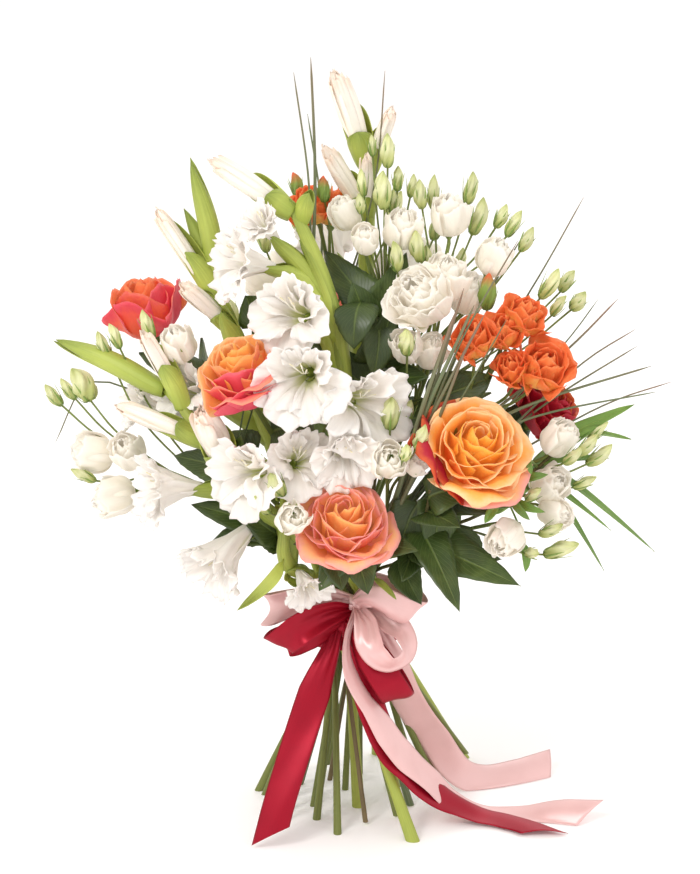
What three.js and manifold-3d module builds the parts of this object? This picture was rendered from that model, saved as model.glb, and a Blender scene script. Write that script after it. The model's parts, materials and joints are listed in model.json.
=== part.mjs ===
// A hand-tied bouquet of mixed flowers that stands on its own cut stems.
// Millimetres, +Z up, +X to the right, and -Y towards the side that most flowers face.
import * as THREE from 'three';
import { mergeVertices } from 'three/addons/utils/BufferGeometryUtils.js';
import Module from 'manifold-3d';

const wasm = await Module();
wasm.setup();

// ---------------------------------------------------------------- driving dimensions

const TIE_HEIGHT = 165;       // middle of the binding above the surface
const TURN_HEIGHT = 30;       // rise in which a stem moves sideways by its distance from the middle
const TIE_SQUEEZE = 0.7;      // how much the binding straightens the widest stems
const BAND_TOP = 25;          // the stems run straight up to here above the binding
const SHORT_STEM = 172;       // length of the thin stems below the binding
const FINEST = 0.3;           // details finer than this are smoothed away
const CLEARANCE = 0.55;       // gap kept between neighbouring pieces
const SEAT = 0.3;            // gap between stems where they are bound, and round them
const LEAF_THICK = 0.8;
const RIBBON_THICK = 0.8;
const RIBBON_WIDTH = 26;
const MIDDLE_SHIFT = [-8, 0]; // moves the finished bouquet over the origin of its frame

// Stem radii by kind
const RADIUS = { rose: 2.7, spray_rose: 2.2, gladiolus: 4.4, lisianthus: 2, foliage: 1.8, grass: 2.6 };

// Colours, as seen, for the preview materials
const COLOUR = {
  apricot: 0xf0a060, coral: 0xd8605a, crimson: 0xb02848, orange: 0xe8502a, white: 0xf6f3ea,
  cream: 0xf1edd6, stem: 0x4f7038, fresh: 0x8cb23c, leaf: 0x2f5228, grass: 0x5c6444,
  cord: 0xb09870, red_satin: 0x8e1024, pink_satin: 0xe8c0bc,
};

const STEM = 'stem';          // marks a bloom that is one piece with its stem

// Feet of the stems that show most, where they stand or end below the binding
const FEET = {
  rose_6_stem: [-10, -74], gladiolus_3_stem: [7, -18], gladiolus_5_stem: [50, -88], rose_4_stem: [76, 6],
  gladiolus_2_stem: [98, 88], gladiolus_4_stem: [24, 100], lisianthus_g_stem: [112, 48],
};

// Each bloom: its middle, the way it faces, and its width.
const ROSES = [
  { name: 'rose_1', at: [97, -105, 328], faces: [0.30, -0.75, 0.55], width: 84, colour: 'apricot' },
  { name: 'rose_2', at: [-4, -108, 268], faces: [0.02, -0.80, 0.60], width: 84, colour: 'apricot' },
  { name: 'rose_3', at: [-81, -92, 377], faces: [-0.25, -0.60, 0.70], width: 68, colour: 'apricot' },
  { name: 'rose_4', at: [-163, 10, 413], faces: [-0.25, -0.10, 0.95], width: 72, colour: 'coral' },
  { name: 'rose_5', at: [159, 10, 331], faces: [0.55, -0.35, 0.60], width: 60, colour: 'crimson' },
  { name: 'rose_6', at: [4, 112, 392], faces: [0.10, 0.70, 0.70], width: 80, colour: 'apricot' },
];

// Sprays carry several blooms and buds on branches of one stem.
// bloom: [x, y, z, width, [faces], group]    bud: [x, y, z, width, length]
const SPRAYS = [
  {
    name: 'spray_rose_right', kind: 'spray_rose', colour: 'orange',
    blooms: [
      [118, -50, 407, 32, [0.05, -0.50, 0.85], 'upper'],
      [94, -62, 404, 38, [-0.10, -0.55, 0.80], 'upper'],
      [134, -42, 418, 35, [0.30, -0.40, 0.85], 'upper'],
      [149, -58, 381, 46, [0.20, -0.65, 0.70], 'lower'],
      [124, -64, 381, 30, [-0.20, -0.60, 0.70], 'lower'],
    ],
    buds: [[107, -35, 433, 15, 22]],
  },
  {
    name: 'spray_rose_top', kind: 'spray_rose', colour: 'orange',
    blooms: [
      [-30, -2, 497, 36, [-0.30, -0.40, 0.85], 'front'],
      [-14, 14, 492, 34, [0.10, 0.20, 0.95], 'front'],
    ],
    buds: [[-20, -16, 512, 11, 18], [-42, 16, 508, 11, 16]],
  },
  {
    name: 'lisianthus_a', kind: 'lisianthus', colour: 'white',
    blooms: [
      [40, -28, 485, 36, [0.10, -0.30, 0.95], 'top'],
      [12, -40, 479, 27, [0.00, -0.60, 0.80], STEM],
      [-4, -22, 496, 30, [-0.40, -0.30, 0.85], STEM],
    ],
    buds: [[17, -12, 545, 7, 13], [29, -14, 540, 12, 20], [26, -30, 513, 15, 26],
      [37, -8, 518, 9, 15]],
  },
  {
    name: 'lisianthus_b', kind: 'lisianthus', colour: 'white',
    blooms: [
      [77, -20, 494, 36, [0.00, -0.15, 1.00], 'top'],
      [113, -22, 461, 33, [0.40, -0.20, 0.90], STEM],
    ],
    buds: [[55, -22, 509, 11, 20], [66, -6, 506, 10, 24], [93, -2, 509, 11, 20], [99, -10, 489, 13, 26],
      [53, -36, 471, 13, 25], [35, -48, 464, 11, 20], [118, 2, 488, 10, 18], [127, -6, 482, 10, 18],
      [137, -14, 472, 10, 18], [155, -10, 435, 12, 22], [171, 4, 435, 11, 17], [179, -4, 421, 12, 15]],
  },
  {
    name: 'lisianthus_c', kind: 'lisianthus', colour: 'white',
    blooms: [
      [54, -62, 438, 50, [-0.40, -0.60, 0.70], 'upper'],
      [74, -38, 448, 40, [0.10, -0.30, 0.95], 'upper'],
      [92, -24, 433, 36, [0.40, -0.20, 0.80], 'upper'],
      [43, -64, 400, 32, [-0.20, -0.70, 0.60], 'lower'],
      [62, -52, 393, 32, [0.20, -0.50, 0.80], 'lower'],
    ],
    buds: [[43, -88, 407, 13, 22]],
  },
  {
    name: 'lisianthus_d', kind: 'lisianthus', colour: 'white',
    blooms: [
      [30, -112, 322, 36, [0.05, -0.85, 0.50], 'front'],
      [52, -98, 316, 24, [0.50, -0.60, 0.50], STEM],
      [-44, -128, 281, 32, [0.10, -0.90, 0.40], 'left'],
    ],
    buds: [[31, -100, 354, 15, 24], [53, -116, 340, 11, 20],
      [-55, -116, 303, 13, 22], [-66, -108, 284, 10, 17]],
  },
  {
    name: 'lisianthus_e', kind: 'lisianthus', colour: 'white',
    blooms: [
      [164, -50, 323, 34, [0.50, -0.30, 0.80], 'upper'],
      [156, -58, 287, 35, [0.50, -0.60, 0.50], 'lower'],
      [160, -70, 268, 30, [0.60, -0.60, -0.10], 'lower'],
    ],
    buds: [[184, -54, 317, 10, 19], [194, -46, 307, 11, 22], [184, -42, 284, 9, 18],
      [141, -86, 286, 9, 18]],
  },
  {
    name: 'lisianthus_f', kind: 'lisianthus', colour: 'white',
    blooms: [[120, -104, 257, 34, [-0.45, -0.75, -0.25], 'front']],
    buds: [[154, -88, 259, 10, 20], [162, -80, 240, 13, 26]],
  },
  {
    name: 'lisianthus_g', kind: 'lisianthus', colour: 'white',
    blooms: [
      [-206, -8, 299, 38, [-0.90, -0.20, 0.15], 'upper'],
      [-176, -28, 306, 34, [-0.30, -0.60, 0.70], STEM],
      [-188, -22, 266, 38, [-0.90, -0.20, -0.15], 'lower'],
      [-134, -40, 396, 34, [-0.30, -0.40, 0.85], 'top'],
    ],
    buds: [[-213, -2, 352, 20, 26], [-235, 0, 343, 10, 17], [-210, -20, 283, 9, 17],
      [-157, -32, 408, 10, 20], [-192, -26, 390, 10, 18]],
  },
  {
    name: 'lisianthus_h', kind: 'lisianthus', colour: 'white',
    blooms: [
      [-52, 88, 432, 38, [-0.40, 0.60, 0.75], 'back'],
      [-71, 74, 422, 36, [-0.70, 0.40, 0.60], 'back'],
      [58, 82, 438, 38, [0.40, 0.60, 0.75], STEM],
    ],
    buds: [[-40, 70, 474, 13, 24], [-70, 62, 458, 11, 20], [-14, 84, 462, 12, 22], [36, 70, 478, 13, 24],
      [70, 60, 468, 11, 20], [88, 66, 440, 10, 18], [-96, 66, 396, 11, 20]],
  },
];

// Gladiolus spikes: the line of the spike, open florets, and buds in their green sheaths.
// floret: [x, y, z, width, [faces], group]    bud: [[root], [tip], width]
const SPIKES = [
  {
    name: 'gladiolus_1', line: [[-5, -40, 300], [-4, -48, 380], [-19, -50, 448], [-49, -45, 510]],
    florets: [
      [-64, -64, 492, 36, [-0.50, -0.50, 0.70], 'upper'],
      [-78, -66, 466, 52, [-0.85, -0.40, 0.30], 'upper'],
      [-40, -84, 430, 56, [-0.40, -0.85, 0.35], STEM],
      [-34, -106, 387, 64, [-0.15, -0.95, 0.15], STEM],
      [6, -94, 365, 60, [0.45, -0.85, 0.10], 'lower'],
      [-5, -96, 328, 56, [0.10, -0.90, -0.20], STEM],
    ],
    buds: [[[-44, -46, 500], [-106, -40, 540], 19], [[-38, -44, 492], [-30, -60, 520], 12]],
  },
  {
    name: 'gladiolus_2', line: [[-66, -70, 268], [-108, -60, 322], [-144, -45, 360]],
    florets: [[-138, -78, 291, 58, [-0.90, -0.35, 0.15], 'front']],
    buds: [[[-144, -45, 360], [-234, -10, 392], 15], [[-128, -52, 348], [-160, -50, 408], 15],
      [[-112, -60, 322], [-180, -62, 352], 16], [[-96, -70, 304], [-114, -90, 356], 26]],
  },
  {
    name: 'gladiolus_3', line: [[12, 14, 380], [13, 10, 470], [14, 6, 535]],
    florets: [
      [-16, 62, 452, 52, [-0.35, 0.80, 0.45], 'back'],
      [30, 56, 420, 56, [0.40, 0.85, 0.30], STEM],
    ],
    buds: [[[14, 8, 528], [-12, -5, 604], 20], [[14, 8, 520], [33, 0, 574], 14],
      [[12, 10, 490], [-20, -2, 544], 17], [[13, 10, 484], [14, -4, 540], 14]],
  },
  {
    name: 'gladiolus_4', line: [[-26, -34, 200], [-52, -62, 226], [-52, -70, 270], [-50, -74, 306]],
    florets: [
      [-96, -82, 240, 66, [-0.60, -0.55, -0.45], 'left'],
      [-74, -98, 310, 54, [-0.50, -0.80, 0.20], 'middle'],
      [-40, -90, 316, 48, [0.20, -0.85, 0.40], STEM],
    ],
    buds: [[[-40, -52, 212], [-42, -88, 206], 22]],
  },
  {
    name: 'gladiolus_5', line: [[-70, -16, 330], [-88, -20, 390], [-102, -18, 430]],
    florets: [
      [-124, -34, 358, 46, [-0.50, -0.70, 0.40], 'front'],
      [-158, -14, 340, 44, [-0.80, -0.30, 0.40], STEM],
    ],
    buds: [[[-102, -18, 430], [-124, -12, 537], 14], [[-98, -16, 424], [-130, -4, 496], 13],
      [[-96, -20, 414], [-151, -22, 500], 15], [[-92, -22, 404], [-130, -42, 444], 16],
      [[-84, -20, 372], [-100, -40, 424], 15]],
  },
];

// Leafy stems: where the stem ends, and leaves as [[root], [tip], width].
const LEAFY = [
  {
    name: 'foliage_right', line: [[96, -30, 250], [150, -36, 300], [178, -30, 326]],
    leaves: [[[166, -32, 318], [224, -28, 344], 11], [[160, -32, 308], [196, -36, 330], 10],
      [[172, -30, 322], [222, -30, 316], 9], [[150, -36, 300], [205, -28, 300], 9],
      [[128, -34, 280], [176, -50, 262], 8], [[140, -34, 290], [206, -46, 246], 8],
      [[146, -36, 288], [201, -50, 214], 8], [[150, -36, 290], [242, -38, 226], 9],
      [[110, -30, 262], [150, 10, 270], 12], [[140, -30, 290], [180, 20, 310], 12]],
  },
  {
    name: 'foliage_front', line: [[40, -44, 220], [58, -76, 262], [62, -84, 290]],
    leaves: [[[56, -72, 250], [84, -126, 205], 24], [[52, -66, 240], [132, -98, 217], 32],
      [[60, -80, 270], [84, -112, 268], 24], [[60, -82, 280], [104, -76, 292], 24],
      [[46, -54, 232], [96, -50, 250], 26], [[50, -62, 238], [40, -104, 222], 22]],
  },
  {
    name: 'foliage_left', line: [[-40, -44, 230], [-72, -60, 262], [-92, -56, 300]],
    leaves: [[[-64, -56, 254], [-124, -62, 272], 24], [[-52, -50, 242], [-92, -84, 282], 22],
      [[-88, -56, 290], [-84, -84, 334], 24], [[-90, -56, 298], [-118, -30, 330], 24],
      [[-92, -56, 298], [-140, -20, 300], 24], [[-60, -54, 250], [-100, -10, 250], 26]],
  },
  {
    name: 'foliage_top', line: [[24, -20, 300], [20, -34, 380], [14, -34, 430]],
    leaves: [[[14, -34, 404], [2, -48, 446], 30], [[20, -36, 378], [33, -54, 430], 26],
      [[22, -30, 360], [60, -66, 376], 26], [[14, -34, 420], [44, -10, 462], 24],
      [[14, -34, 426], [-20, -2, 462], 24], [[22, -30, 350], [-50, -30, 408], 26]],
  },
  {
    name: 'foliage_back', line: [[-6, 46, 250], [-10, 84, 310], [-16, 96, 350]],
    leaves: [[[-8, 66, 280], [-72, 96, 290], 30], [[-8, 70, 286], [60, 104, 284], 30],
      [[-12, 88, 322], [-80, 110, 350], 30], [[-12, 88, 326], [62, 112, 340], 30],
      [[-6, 56, 266], [-30, 116, 248], 28], [[-6, 60, 270], [30, 118, 250], 28],
      [[-16, 96, 346], [-60, 92, 396], 28], [[-16, 96, 350], [44, 84, 396], 28],
      [[-8, 64, 276], [-118, 60, 320], 28], [[-8, 64, 276], [116, 66, 330], 28]],
  },
];

// Blades of grass from one bundle: [[x, y, z of a point on the way], [tip], width]
const GRASSES = [
  {
    name: 'grass_left', line: [[-26, -12, 230], [-30, -12, 270]],
    blades: [[[-26, -24, 506], [-30, -22, 616], 4.4], [[-28, -27, 490], [-43, -26, 605], 3],
      [[19, -2, 500], [27, 0, 603], 2.6], [[-202, 15, 368], [-238, 20, 300], 2.6],
      [[-20, 40, 470], [-34, 66, 560], 3], [[10, 56, 450], [26, 92, 540], 3]],
  },
  {
    name: 'grass_right', line: [[20, -36, 220], [36, -48, 262]],
    blades: [[[57, -100, 352], [86, -88, 450], 4], [[80, -90, 403], [128, -60, 481], 2.8],
      [[88, -96, 368], [119, -84, 425], 2.6], [[142, 2, 425], [183, 5, 503], 2.6],
      [[170, -10, 380], [211, -5, 424], 3.6], [[168, 8, 381], [197, 12, 420], 2.6],
      [[175, 2, 366], [227, 10, 396], 3.2], [[150, -14, 340], [226, -15, 388], 3.2],
      [[119, -66, 346], [235, -40, 378], 4], [[192, -28, 341], [254, -18, 360], 3],
      [[90, 40, 380], [140, 70, 460], 3]],
  },
];

// Leaves that grow on the rose stems, as [[root], [tip], width]
const ROSE_LEAVES = {
  rose_1: [[[60, -62, 280], [110, -104, 276], 28], [[60, -40, 280], [120, -30, 270], 28]],
  rose_2: [[[4, -60, 240], [52, -112, 250], 26], [[-4, -56, 236], [-44, -96, 250], 26]],
  rose_3: [[[-60, -56, 330], [-30, -70, 340], 26]],
  rose_4: [[[-110, 0, 350], [-170, 30, 372], 28], [[-100, 0, 340], [-120, 50, 380], 28]],
  rose_5: [[[110, -6, 300], [150, 40, 330], 28]],
  rose_6: [[[0, 80, 350], [-50, 120, 370], 28], [[0, 80, 350], [56, 118, 372], 28]],
};

// Ribbons: where each bow is knotted, the far end of each loop with the way its width runs,
// and the middle line of each tail.
const BOWS = {
  ribbon_red: {
    rise: -13, knot: [-6, -41, 165], colour: 'red_satin',
    loops: [
      { far: [-62, -64, 152], across: [0.35, -0.45, -0.80], belly: 14 },
      { far: [44, -70, 118], across: [0.70, 0.30, 0.45], belly: 7 },
    ],
    tails: [
      [[-12, -42, 160], [-24, -52, 128], [-34, -66, 94], [-46, -82, 60], [-57, -97, 26], [-64, -106, 2]],
      [[0, -42, 160], [6, -50, 132], [18, -57, 101], [37, -58, 70], [54, -43, 44], [70, -25, 23],
        [88, -12, 11], [104, -32, 5.6], [120, -56, 4.4], [138, -74, 3], [156, -90, 1.2]],
    ],
  },
  ribbon_pink: {
    rise: 12, knot: [8, -42, 185], colour: 'pink_satin',
    loops: [
      { far: [62, -56, 198], across: [0.10, -0.60, -0.75], belly: 12 },
      { far: [56, -72, 154], across: [0.55, -0.75, -0.10], belly: 13 },
      { far: [-66, -56, 180], across: [0.10, -0.50, -0.85], belly: 8 },
    ],
    tails: [
      [[6, -46, 181], [-1, -64, 148], [9, -76, 112], [27, -76, 80], [51, -65, 44], [64, -55, 20],
        [76, -47, 4], [98, -38, 1.2], [146, -41, 1.2], [192, -56, 1.2]],
      [[12, -42, 181], [30, -38, 158], [35, -28, 132], [41, -13, 104], [65, 4, 64], [82, 14, 28],
        [94, 19, 6], [114, 27, 1.2], [140, 40, 1.2], [172, 56, 1.2]],
    ],
  },
};

// ---------------------------------------------------------------- vectors and curves

const vec = (p) => new THREE.Vector3(...p);
const unit = (p) => p.clone().normalize();
const mix = (p, q, t) => p.clone().lerp(q, t);
const plus = (p, q, scale = 1) => p.clone().addScaledVector(q, scale);
const minus = (p, q) => p.clone().sub(q);
const UP = vec([0, 0, 1]);

function bezier(p0, p1, p2, p3, t) {
  const s = 1 - t;
  return p0.clone().multiplyScalar(s * s * s).addScaledVector(p1, 3 * s * s * t)
    .addScaledVector(p2, 3 * s * t * t).addScaledVector(p3, t * t * t);
}

// Cuts the corners of a line of points, and keeps its two ends
function softened(points, times) {
  let line = points;
  for (let k = 0; k < times; k++) {
    const next = [line[0]];
    for (let i = 0; i < line.length - 1; i++) {
      if (i > 0) next.push(mix(line[i], line[i + 1], 0.25));
      if (i < line.length - 2) next.push(mix(line[i], line[i + 1], 0.75));
    }
    next.push(line[line.length - 1]);
    line = next;
  }
  return line;
}

function tangents(points) {
  return points.map((p, i) => {
    const before = points[Math.max(0, i - 1)];
    const after = points[Math.min(points.length - 1, i + 1)];
    return unit(minus(after, before));
  });
}

function squareTo(direction, hint) {
  const side = plus(hint, direction, -hint.dot(direction));
  if (side.length() < 0.05) return squareTo(direction, vec([direction.z, direction.x, direction.y]));
  return unit(side);
}

// ---------------------------------------------------------------- closed solids

function solid(corners, faces) {
  const geometry = new THREE.BufferGeometry();
  const position = new Float32Array(corners.flatMap((p) => [p.x, p.y, p.z]));
  geometry.setAttribute('position', new THREE.BufferAttribute(position, 3));
  geometry.setIndex(faces.flat());
  const merged = mergeVertices(geometry, 2e-3);
  const index = merged.index.array;
  const kept = [];
  for (let i = 0; i < index.length; i += 3) {
    const [a, b, c] = [index[i], index[i + 1], index[i + 2]];
    if (a !== b && b !== c && c !== a) kept.push(a, b, c);
  }
  const vertProperties = Float32Array.from(merged.attributes.position.array);
  const make = (list) => new wasm.Manifold(
    new wasm.Mesh({ numProp: 3, vertProperties, triVerts: Uint32Array.from(list) }));
  const made = make(kept);
  return made.volume() > 0 ? made : make(kept.reverse());
}

// A thin closed leaf or petal. place(a, b) gives its middle surface, with a from 0 at the
// root to 1 at the tip, and b from -1 to 1 across. The rim is sharp. A margin thickens it
// and carries it past its rim, for cutting its neighbours clear.
function blade(place, rows, columns, thick, margin) {
  const grid = [];
  for (let i = 0; i <= rows; i++) {
    grid.push([]);
    for (let j = 0; j <= columns; j++) grid[i].push(place(i / rows, (2 * j) / columns - 1));
  }
  const facing = grid.map((row, i) => row.map((_, j) => {
    const along = minus(grid[Math.min(rows, i + 1)][j], grid[Math.max(0, i - 1)][j]);
    const level = i === 0 ? 1 : (i === rows ? rows - 1 : i);
    const across = minus(grid[level][Math.min(columns, j + 1)], grid[level][Math.max(0, j - 1)]);
    return unit(along.cross(across));
  }));
  let points = grid;
  let depth = grid.map((row, i) => row.map((_, j) => {
    const rim = i === 0 || i === rows || j === 0 || j === columns;
    return (rim ? 0 : thick / 2) + margin;
  }));
  let normals = facing;
  if (margin > 0) {
    const reach = 2 * margin;
    const past = (p, q) => (p.distanceTo(q) < 1e-3 ? p.clone() : plus(p, unit(minus(p, q)), reach));
    const widened = points.map((row) => (
      [past(row[0], row[1]), ...row, past(row[columns], row[columns - 1])]));
    const first = widened[0].map((p, j) => past(p, widened[1][j]));
    const last = widened[rows].map((p, j) => past(p, widened[rows - 1][j]));
    points = [first, ...widened, last];
    const widen = (row) => [row[0], ...row, row[columns]];
    normals = [widen(facing[0]), ...facing.map(widen), widen(facing[rows])];
    const bare = new Array(columns + 3).fill(0);
    depth = [bare, ...depth.map((row) => [0, ...row, 0]), bare];
  }
  const high = points.length;
  const wide = points[0].length;
  const top = [];
  const under = [];
  for (let i = 0; i < high; i++) {
    for (let j = 0; j < wide; j++) {
      top.push(plus(points[i][j], normals[i][j], depth[i][j]));
      under.push(plus(points[i][j], normals[i][j], -depth[i][j]));
    }
  }
  const faces = [];
  const count = high * wide;
  for (let i = 0; i < high - 1; i++) {
    for (let j = 0; j < wide - 1; j++) {
      const [a, b, c, d] = [i * wide + j, i * wide + j + 1, (i + 1) * wide + j + 1, (i + 1) * wide + j];
      faces.push([a, b, c], [a, c, d]);
      faces.push([count + a, count + c, count + b], [count + a, count + d, count + c]);
    }
  }
  return solid([...top, ...under], faces);
}

// A closed rod along points with a radius at each. flat squeezes the section in one way,
// across sets that way, and sole slides the first section along the rod to a height.
function rod(points, radii, sides, margin, { flat = 1, across = vec([1, 0, 0]), sole = null } = {}) {
  const ways = tangents(points);
  const corners = [];
  let side = squareTo(ways[0], across);
  points.forEach((p, i) => {
    side = squareTo(ways[i], side);
    const other = ways[i].clone().cross(side);
    const radius = radii[i] > 0.05 || margin > 0 ? radii[i] + 1.25 * margin : 0;
    let middle = p;
    if (margin > 0 && i === 0) middle = plus(p, ways[i], -margin);
    if (margin > 0 && i === points.length - 1) middle = plus(p, ways[i], margin);
    for (let k = 0; k < sides; k++) {
      const angle = (2 * Math.PI * k) / sides;
      const beside = plus(middle, side, radius * Math.cos(angle));
      const corner = plus(beside, other, flat * radius * Math.sin(angle));
      if (sole !== null && i === 0) corner.addScaledVector(ways[0], (sole - margin - corner.z) / ways[0].z);
      corners.push(corner);
    }
  });
  return solid(corners, tubeFaces(points.length, sides));
}

function tubeFaces(rings, sides) {
  const faces = [];
  for (let i = 0; i < rings - 1; i++) {
    for (let k = 0; k < sides; k++) {
      const next = (k + 1) % sides;
      const [a, b] = [i * sides + k, i * sides + next];
      faces.push([a, b, b + sides], [a, b + sides, a + sides]);
    }
  }
  const last = (rings - 1) * sides;
  for (let k = 1; k < sides - 1; k++) {
    faces.push([0, k + 1, k], [last, last + k, last + k + 1]);
  }
  return faces;
}

// A flat ribbon along a line, with the way that its width runs at each point
function ribbon(points, across, widths, margin) {
  const ways = tangents(points);
  const corners = [];
  points.forEach((p, i) => {
    const side = squareTo(ways[i], across[i]);
    const out = ways[i].clone().cross(side);
    const half = widths[i] / 2 + margin;
    const thick = RIBBON_THICK / 2 + margin;
    for (const [u, w] of [[1, 1], [-1, 1], [-1, -1], [1, -1]]) {
      corners.push(plus(plus(p, side, u * half), out, w * thick));
    }
  });
  return solid(corners, tubeFaces(points.length, 4));
}

function solidOf(geometry) {
  const places = geometry.attributes.position.array;
  const index = geometry.index.array;
  const corners = [];
  for (let i = 0; i < places.length; i += 3) corners.push(vec([places[i], places[i + 1], places[i + 2]]));
  const faces = [];
  for (let i = 0; i < index.length; i += 3) faces.push([index[i], index[i + 1], index[i + 2]]);
  return solid(corners, faces);
}

// A closed ring round the bundle: outline gives points of its section as [radius, height]
function ring(outline, steps) {
  const profile = [...outline, outline[0]].map(([r, z]) => new THREE.Vector2(r, z));
  const geometry = new THREE.LatheGeometry(profile, steps);
  geometry.rotateX(Math.PI / 2);
  return solidOf(geometry);
}

function union(list) {
  if (list.length === 0) return null;
  return cleaned(list.reduce((all, one) => all.add(one)));
}

// Drops the seams between joined shapes, and details much finer than a petal
function cleaned(made) {
  return made.asOriginal().simplify(FINEST);
}

function largest(made) {
  return made.decompose().reduce((best, one) => (one.volume() > best.volume() ? one : best));
}

// ---------------------------------------------------------------- blooms

// Turns a bloom's own places (x and y across it, z the way it faces) into the bouquet's
function bloomFrame(root, faces, roll = 0) {
  const ahead = unit(faces);
  const side = squareTo(ahead, vec([1, 0, 0])).applyAxisAngle(ahead, roll);
  const other = ahead.clone().cross(side);
  return (x, y, z) => plus(plus(plus(root, side, x), other, y), ahead, z);
}

// A bloom as one closed surface that runs up the outside of the outer petals to their edge,
// down behind it, up the next ring of petals, and so on to the middle. Each ring of the
// surface is [radius, height, petals, turn, notch]: shares of the bloom's radius and height,
// how many petals its edge is cut into, how far they are turned, and how deep the cuts are.
// A ring with no petals is a fold between two rings of petals. A margin leaves the folds out
// and grows the rest, for cutting the neighbours clear.
function whorls(frame, radius, height, rings, steps, ruffle) {
  return (margin) => {
    const corners = [];
    const kept = margin > 0 ? rings.filter(([, , count]) => count !== FOLD) : rings;
    kept.forEach(([out, rise, count, turn = 0, notch = 0], k) => {
      for (let j = 0; j < steps; j++) {
        const angle = (2 * Math.PI * j) / steps;
        const lobe = count > 0 ? Math.pow(Math.abs(Math.cos(0.5 * count * angle + turn)), 0.7) : 1;
        const wave = notch > 0 ? ruffle * Math.sin(2.4 * count * angle + k) : 0;
        const grow = out > 0 ? 1.6 * margin : 0;
        const far = radius * out * (1 - 0.4 * notch * (1 - lobe) + wave) + grow;
        const high = height * (rise - notch * (1 - lobe) + 0.5 * wave);
        const ends = k === 0 ? -margin : (k === kept.length - 1 ? 1.6 * margin : 0.8 * margin);
        corners.push(frame(far * Math.cos(angle), far * Math.sin(angle), high + ends));
      }
    });
    return solid(corners, tubeFaces(kept.length, steps));
  };
}

const FOLD = -1;

const ROSE_RINGS = [[0.14, 0], [0.56, 0.12], [0.90, 0.42], [1, 0.68, 5, 0, 0.24], [0.74, 0.40, FOLD],
  [0.72, 0.86, 5, 1.2, 0.16], [0.50, 0.58, FOLD], [0.47, 0.97, 3, 0.4, 0.14], [0.27, 0.68, FOLD],
  [0.20, 1, 3, 1.4, 0.08], [0, 0.86]];
const SPRAY_ROSE_RINGS = [[0.16, 0], [0.72, 0.25], [1, 0.78, 5, 0, 0.26], [0.62, 0.46, FOLD],
  [0.55, 1, 5, 1.5, 0.16], [0.28, 0.66, FOLD], [0, 0.94]];
const LISIANTHUS_RINGS = [[0.18, 0], [0.78, 0.34], [1, 0.96, 5, 0, 0.16], [0.64, 0.55, FOLD],
  [0.48, 0.94, 5, 1.5, 0.1], [0, 0.78]];
const GLADIOLUS_RINGS = [[0.14, 0], [0.2, 0.3], [0.54, 0.6], [1, 0.98, 6, 0, 0.32], [0.56, 0.76, FOLD],
  [0.16, 0.5, FOLD], [0, 0.56]];

function roseBloom(frame, radius, height) {
  return whorls(frame, radius, height, ROSE_RINGS, 15, 0.02);
}

function sprayRoseBloom(frame, radius, height) {
  return whorls(frame, radius, height, SPRAY_ROSE_RINGS, 10, 0);
}

function lisianthusBloom(frame, radius, height) {
  return whorls(frame, radius, height, LISIANTHUS_RINGS, 10, 0.03);
}

function gladiolusFloret(frame, radius, height) {
  return whorls(frame, radius, height, GLADIOLUS_RINGS, radius > 31 ? 18 : 12, 0.05);
}

// deep is a bloom's height as a share of its width, and neck the radius of the swelling under it
const BLOOMS = {
  rose: { make: roseBloom, deep: 0.60, neck: 6.5 },
  spray_rose: { make: sprayRoseBloom, deep: 0.70, neck: 3.6 },
  lisianthus: { make: lisianthusBloom, deep: 0.85, neck: 3.0 },
  gladiolus: { make: gladiolusFloret, deep: 0.80, neck: 6.0 },
};

// A leaf on its stalk: a blade from the stem to the tip, bent over the place where it widens
function leaf(stalk, root, tip, width, aside) {
  const along = minus(tip, root);
  const side = squareTo(unit(along), along.clone().cross(UP));
  const over = side.clone().cross(unit(along));
  if (over.z < 0) over.negate();
  const bare = 0.8 * stalk.distanceTo(root) / (stalk.distanceTo(root) + along.length());
  const bend = plus(plus(root, over, 0.1 * along.length()), aside);
  return (margin) => blade((a, b) => {
    const s = Math.max(0, a - bare) / (1 - bare);
    const half = 1.1 + (width / 2 - 1.1) * Math.pow(Math.sin(Math.PI * Math.pow(s, 0.75)), 0.7);
    const narrow = a > 0.999 ? 0.15 : 1;
    const middle = mix(mix(stalk, bend, a), mix(bend, tip, a), a);
    return plus(plus(middle, side, b * half * narrow), over, 0.2 * half * Math.abs(b));
  }, width > 20 ? 4 : 3, 2, LEAF_THICK, margin);
}

// ---------------------------------------------------------------- the layout of the stems

// A strand is the middle line of a stem, branch or blade of grass while the layout is made.
const strands = [];
const balls = [];

function addStrand(owner, points, radius, fixed, parent = null, joint = 0) {
  const strand = { owner, points, start: points.map((p) => p.clone()), radius, fixed, parent, joint };
  strands.push(strand);
  return strand;
}

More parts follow.
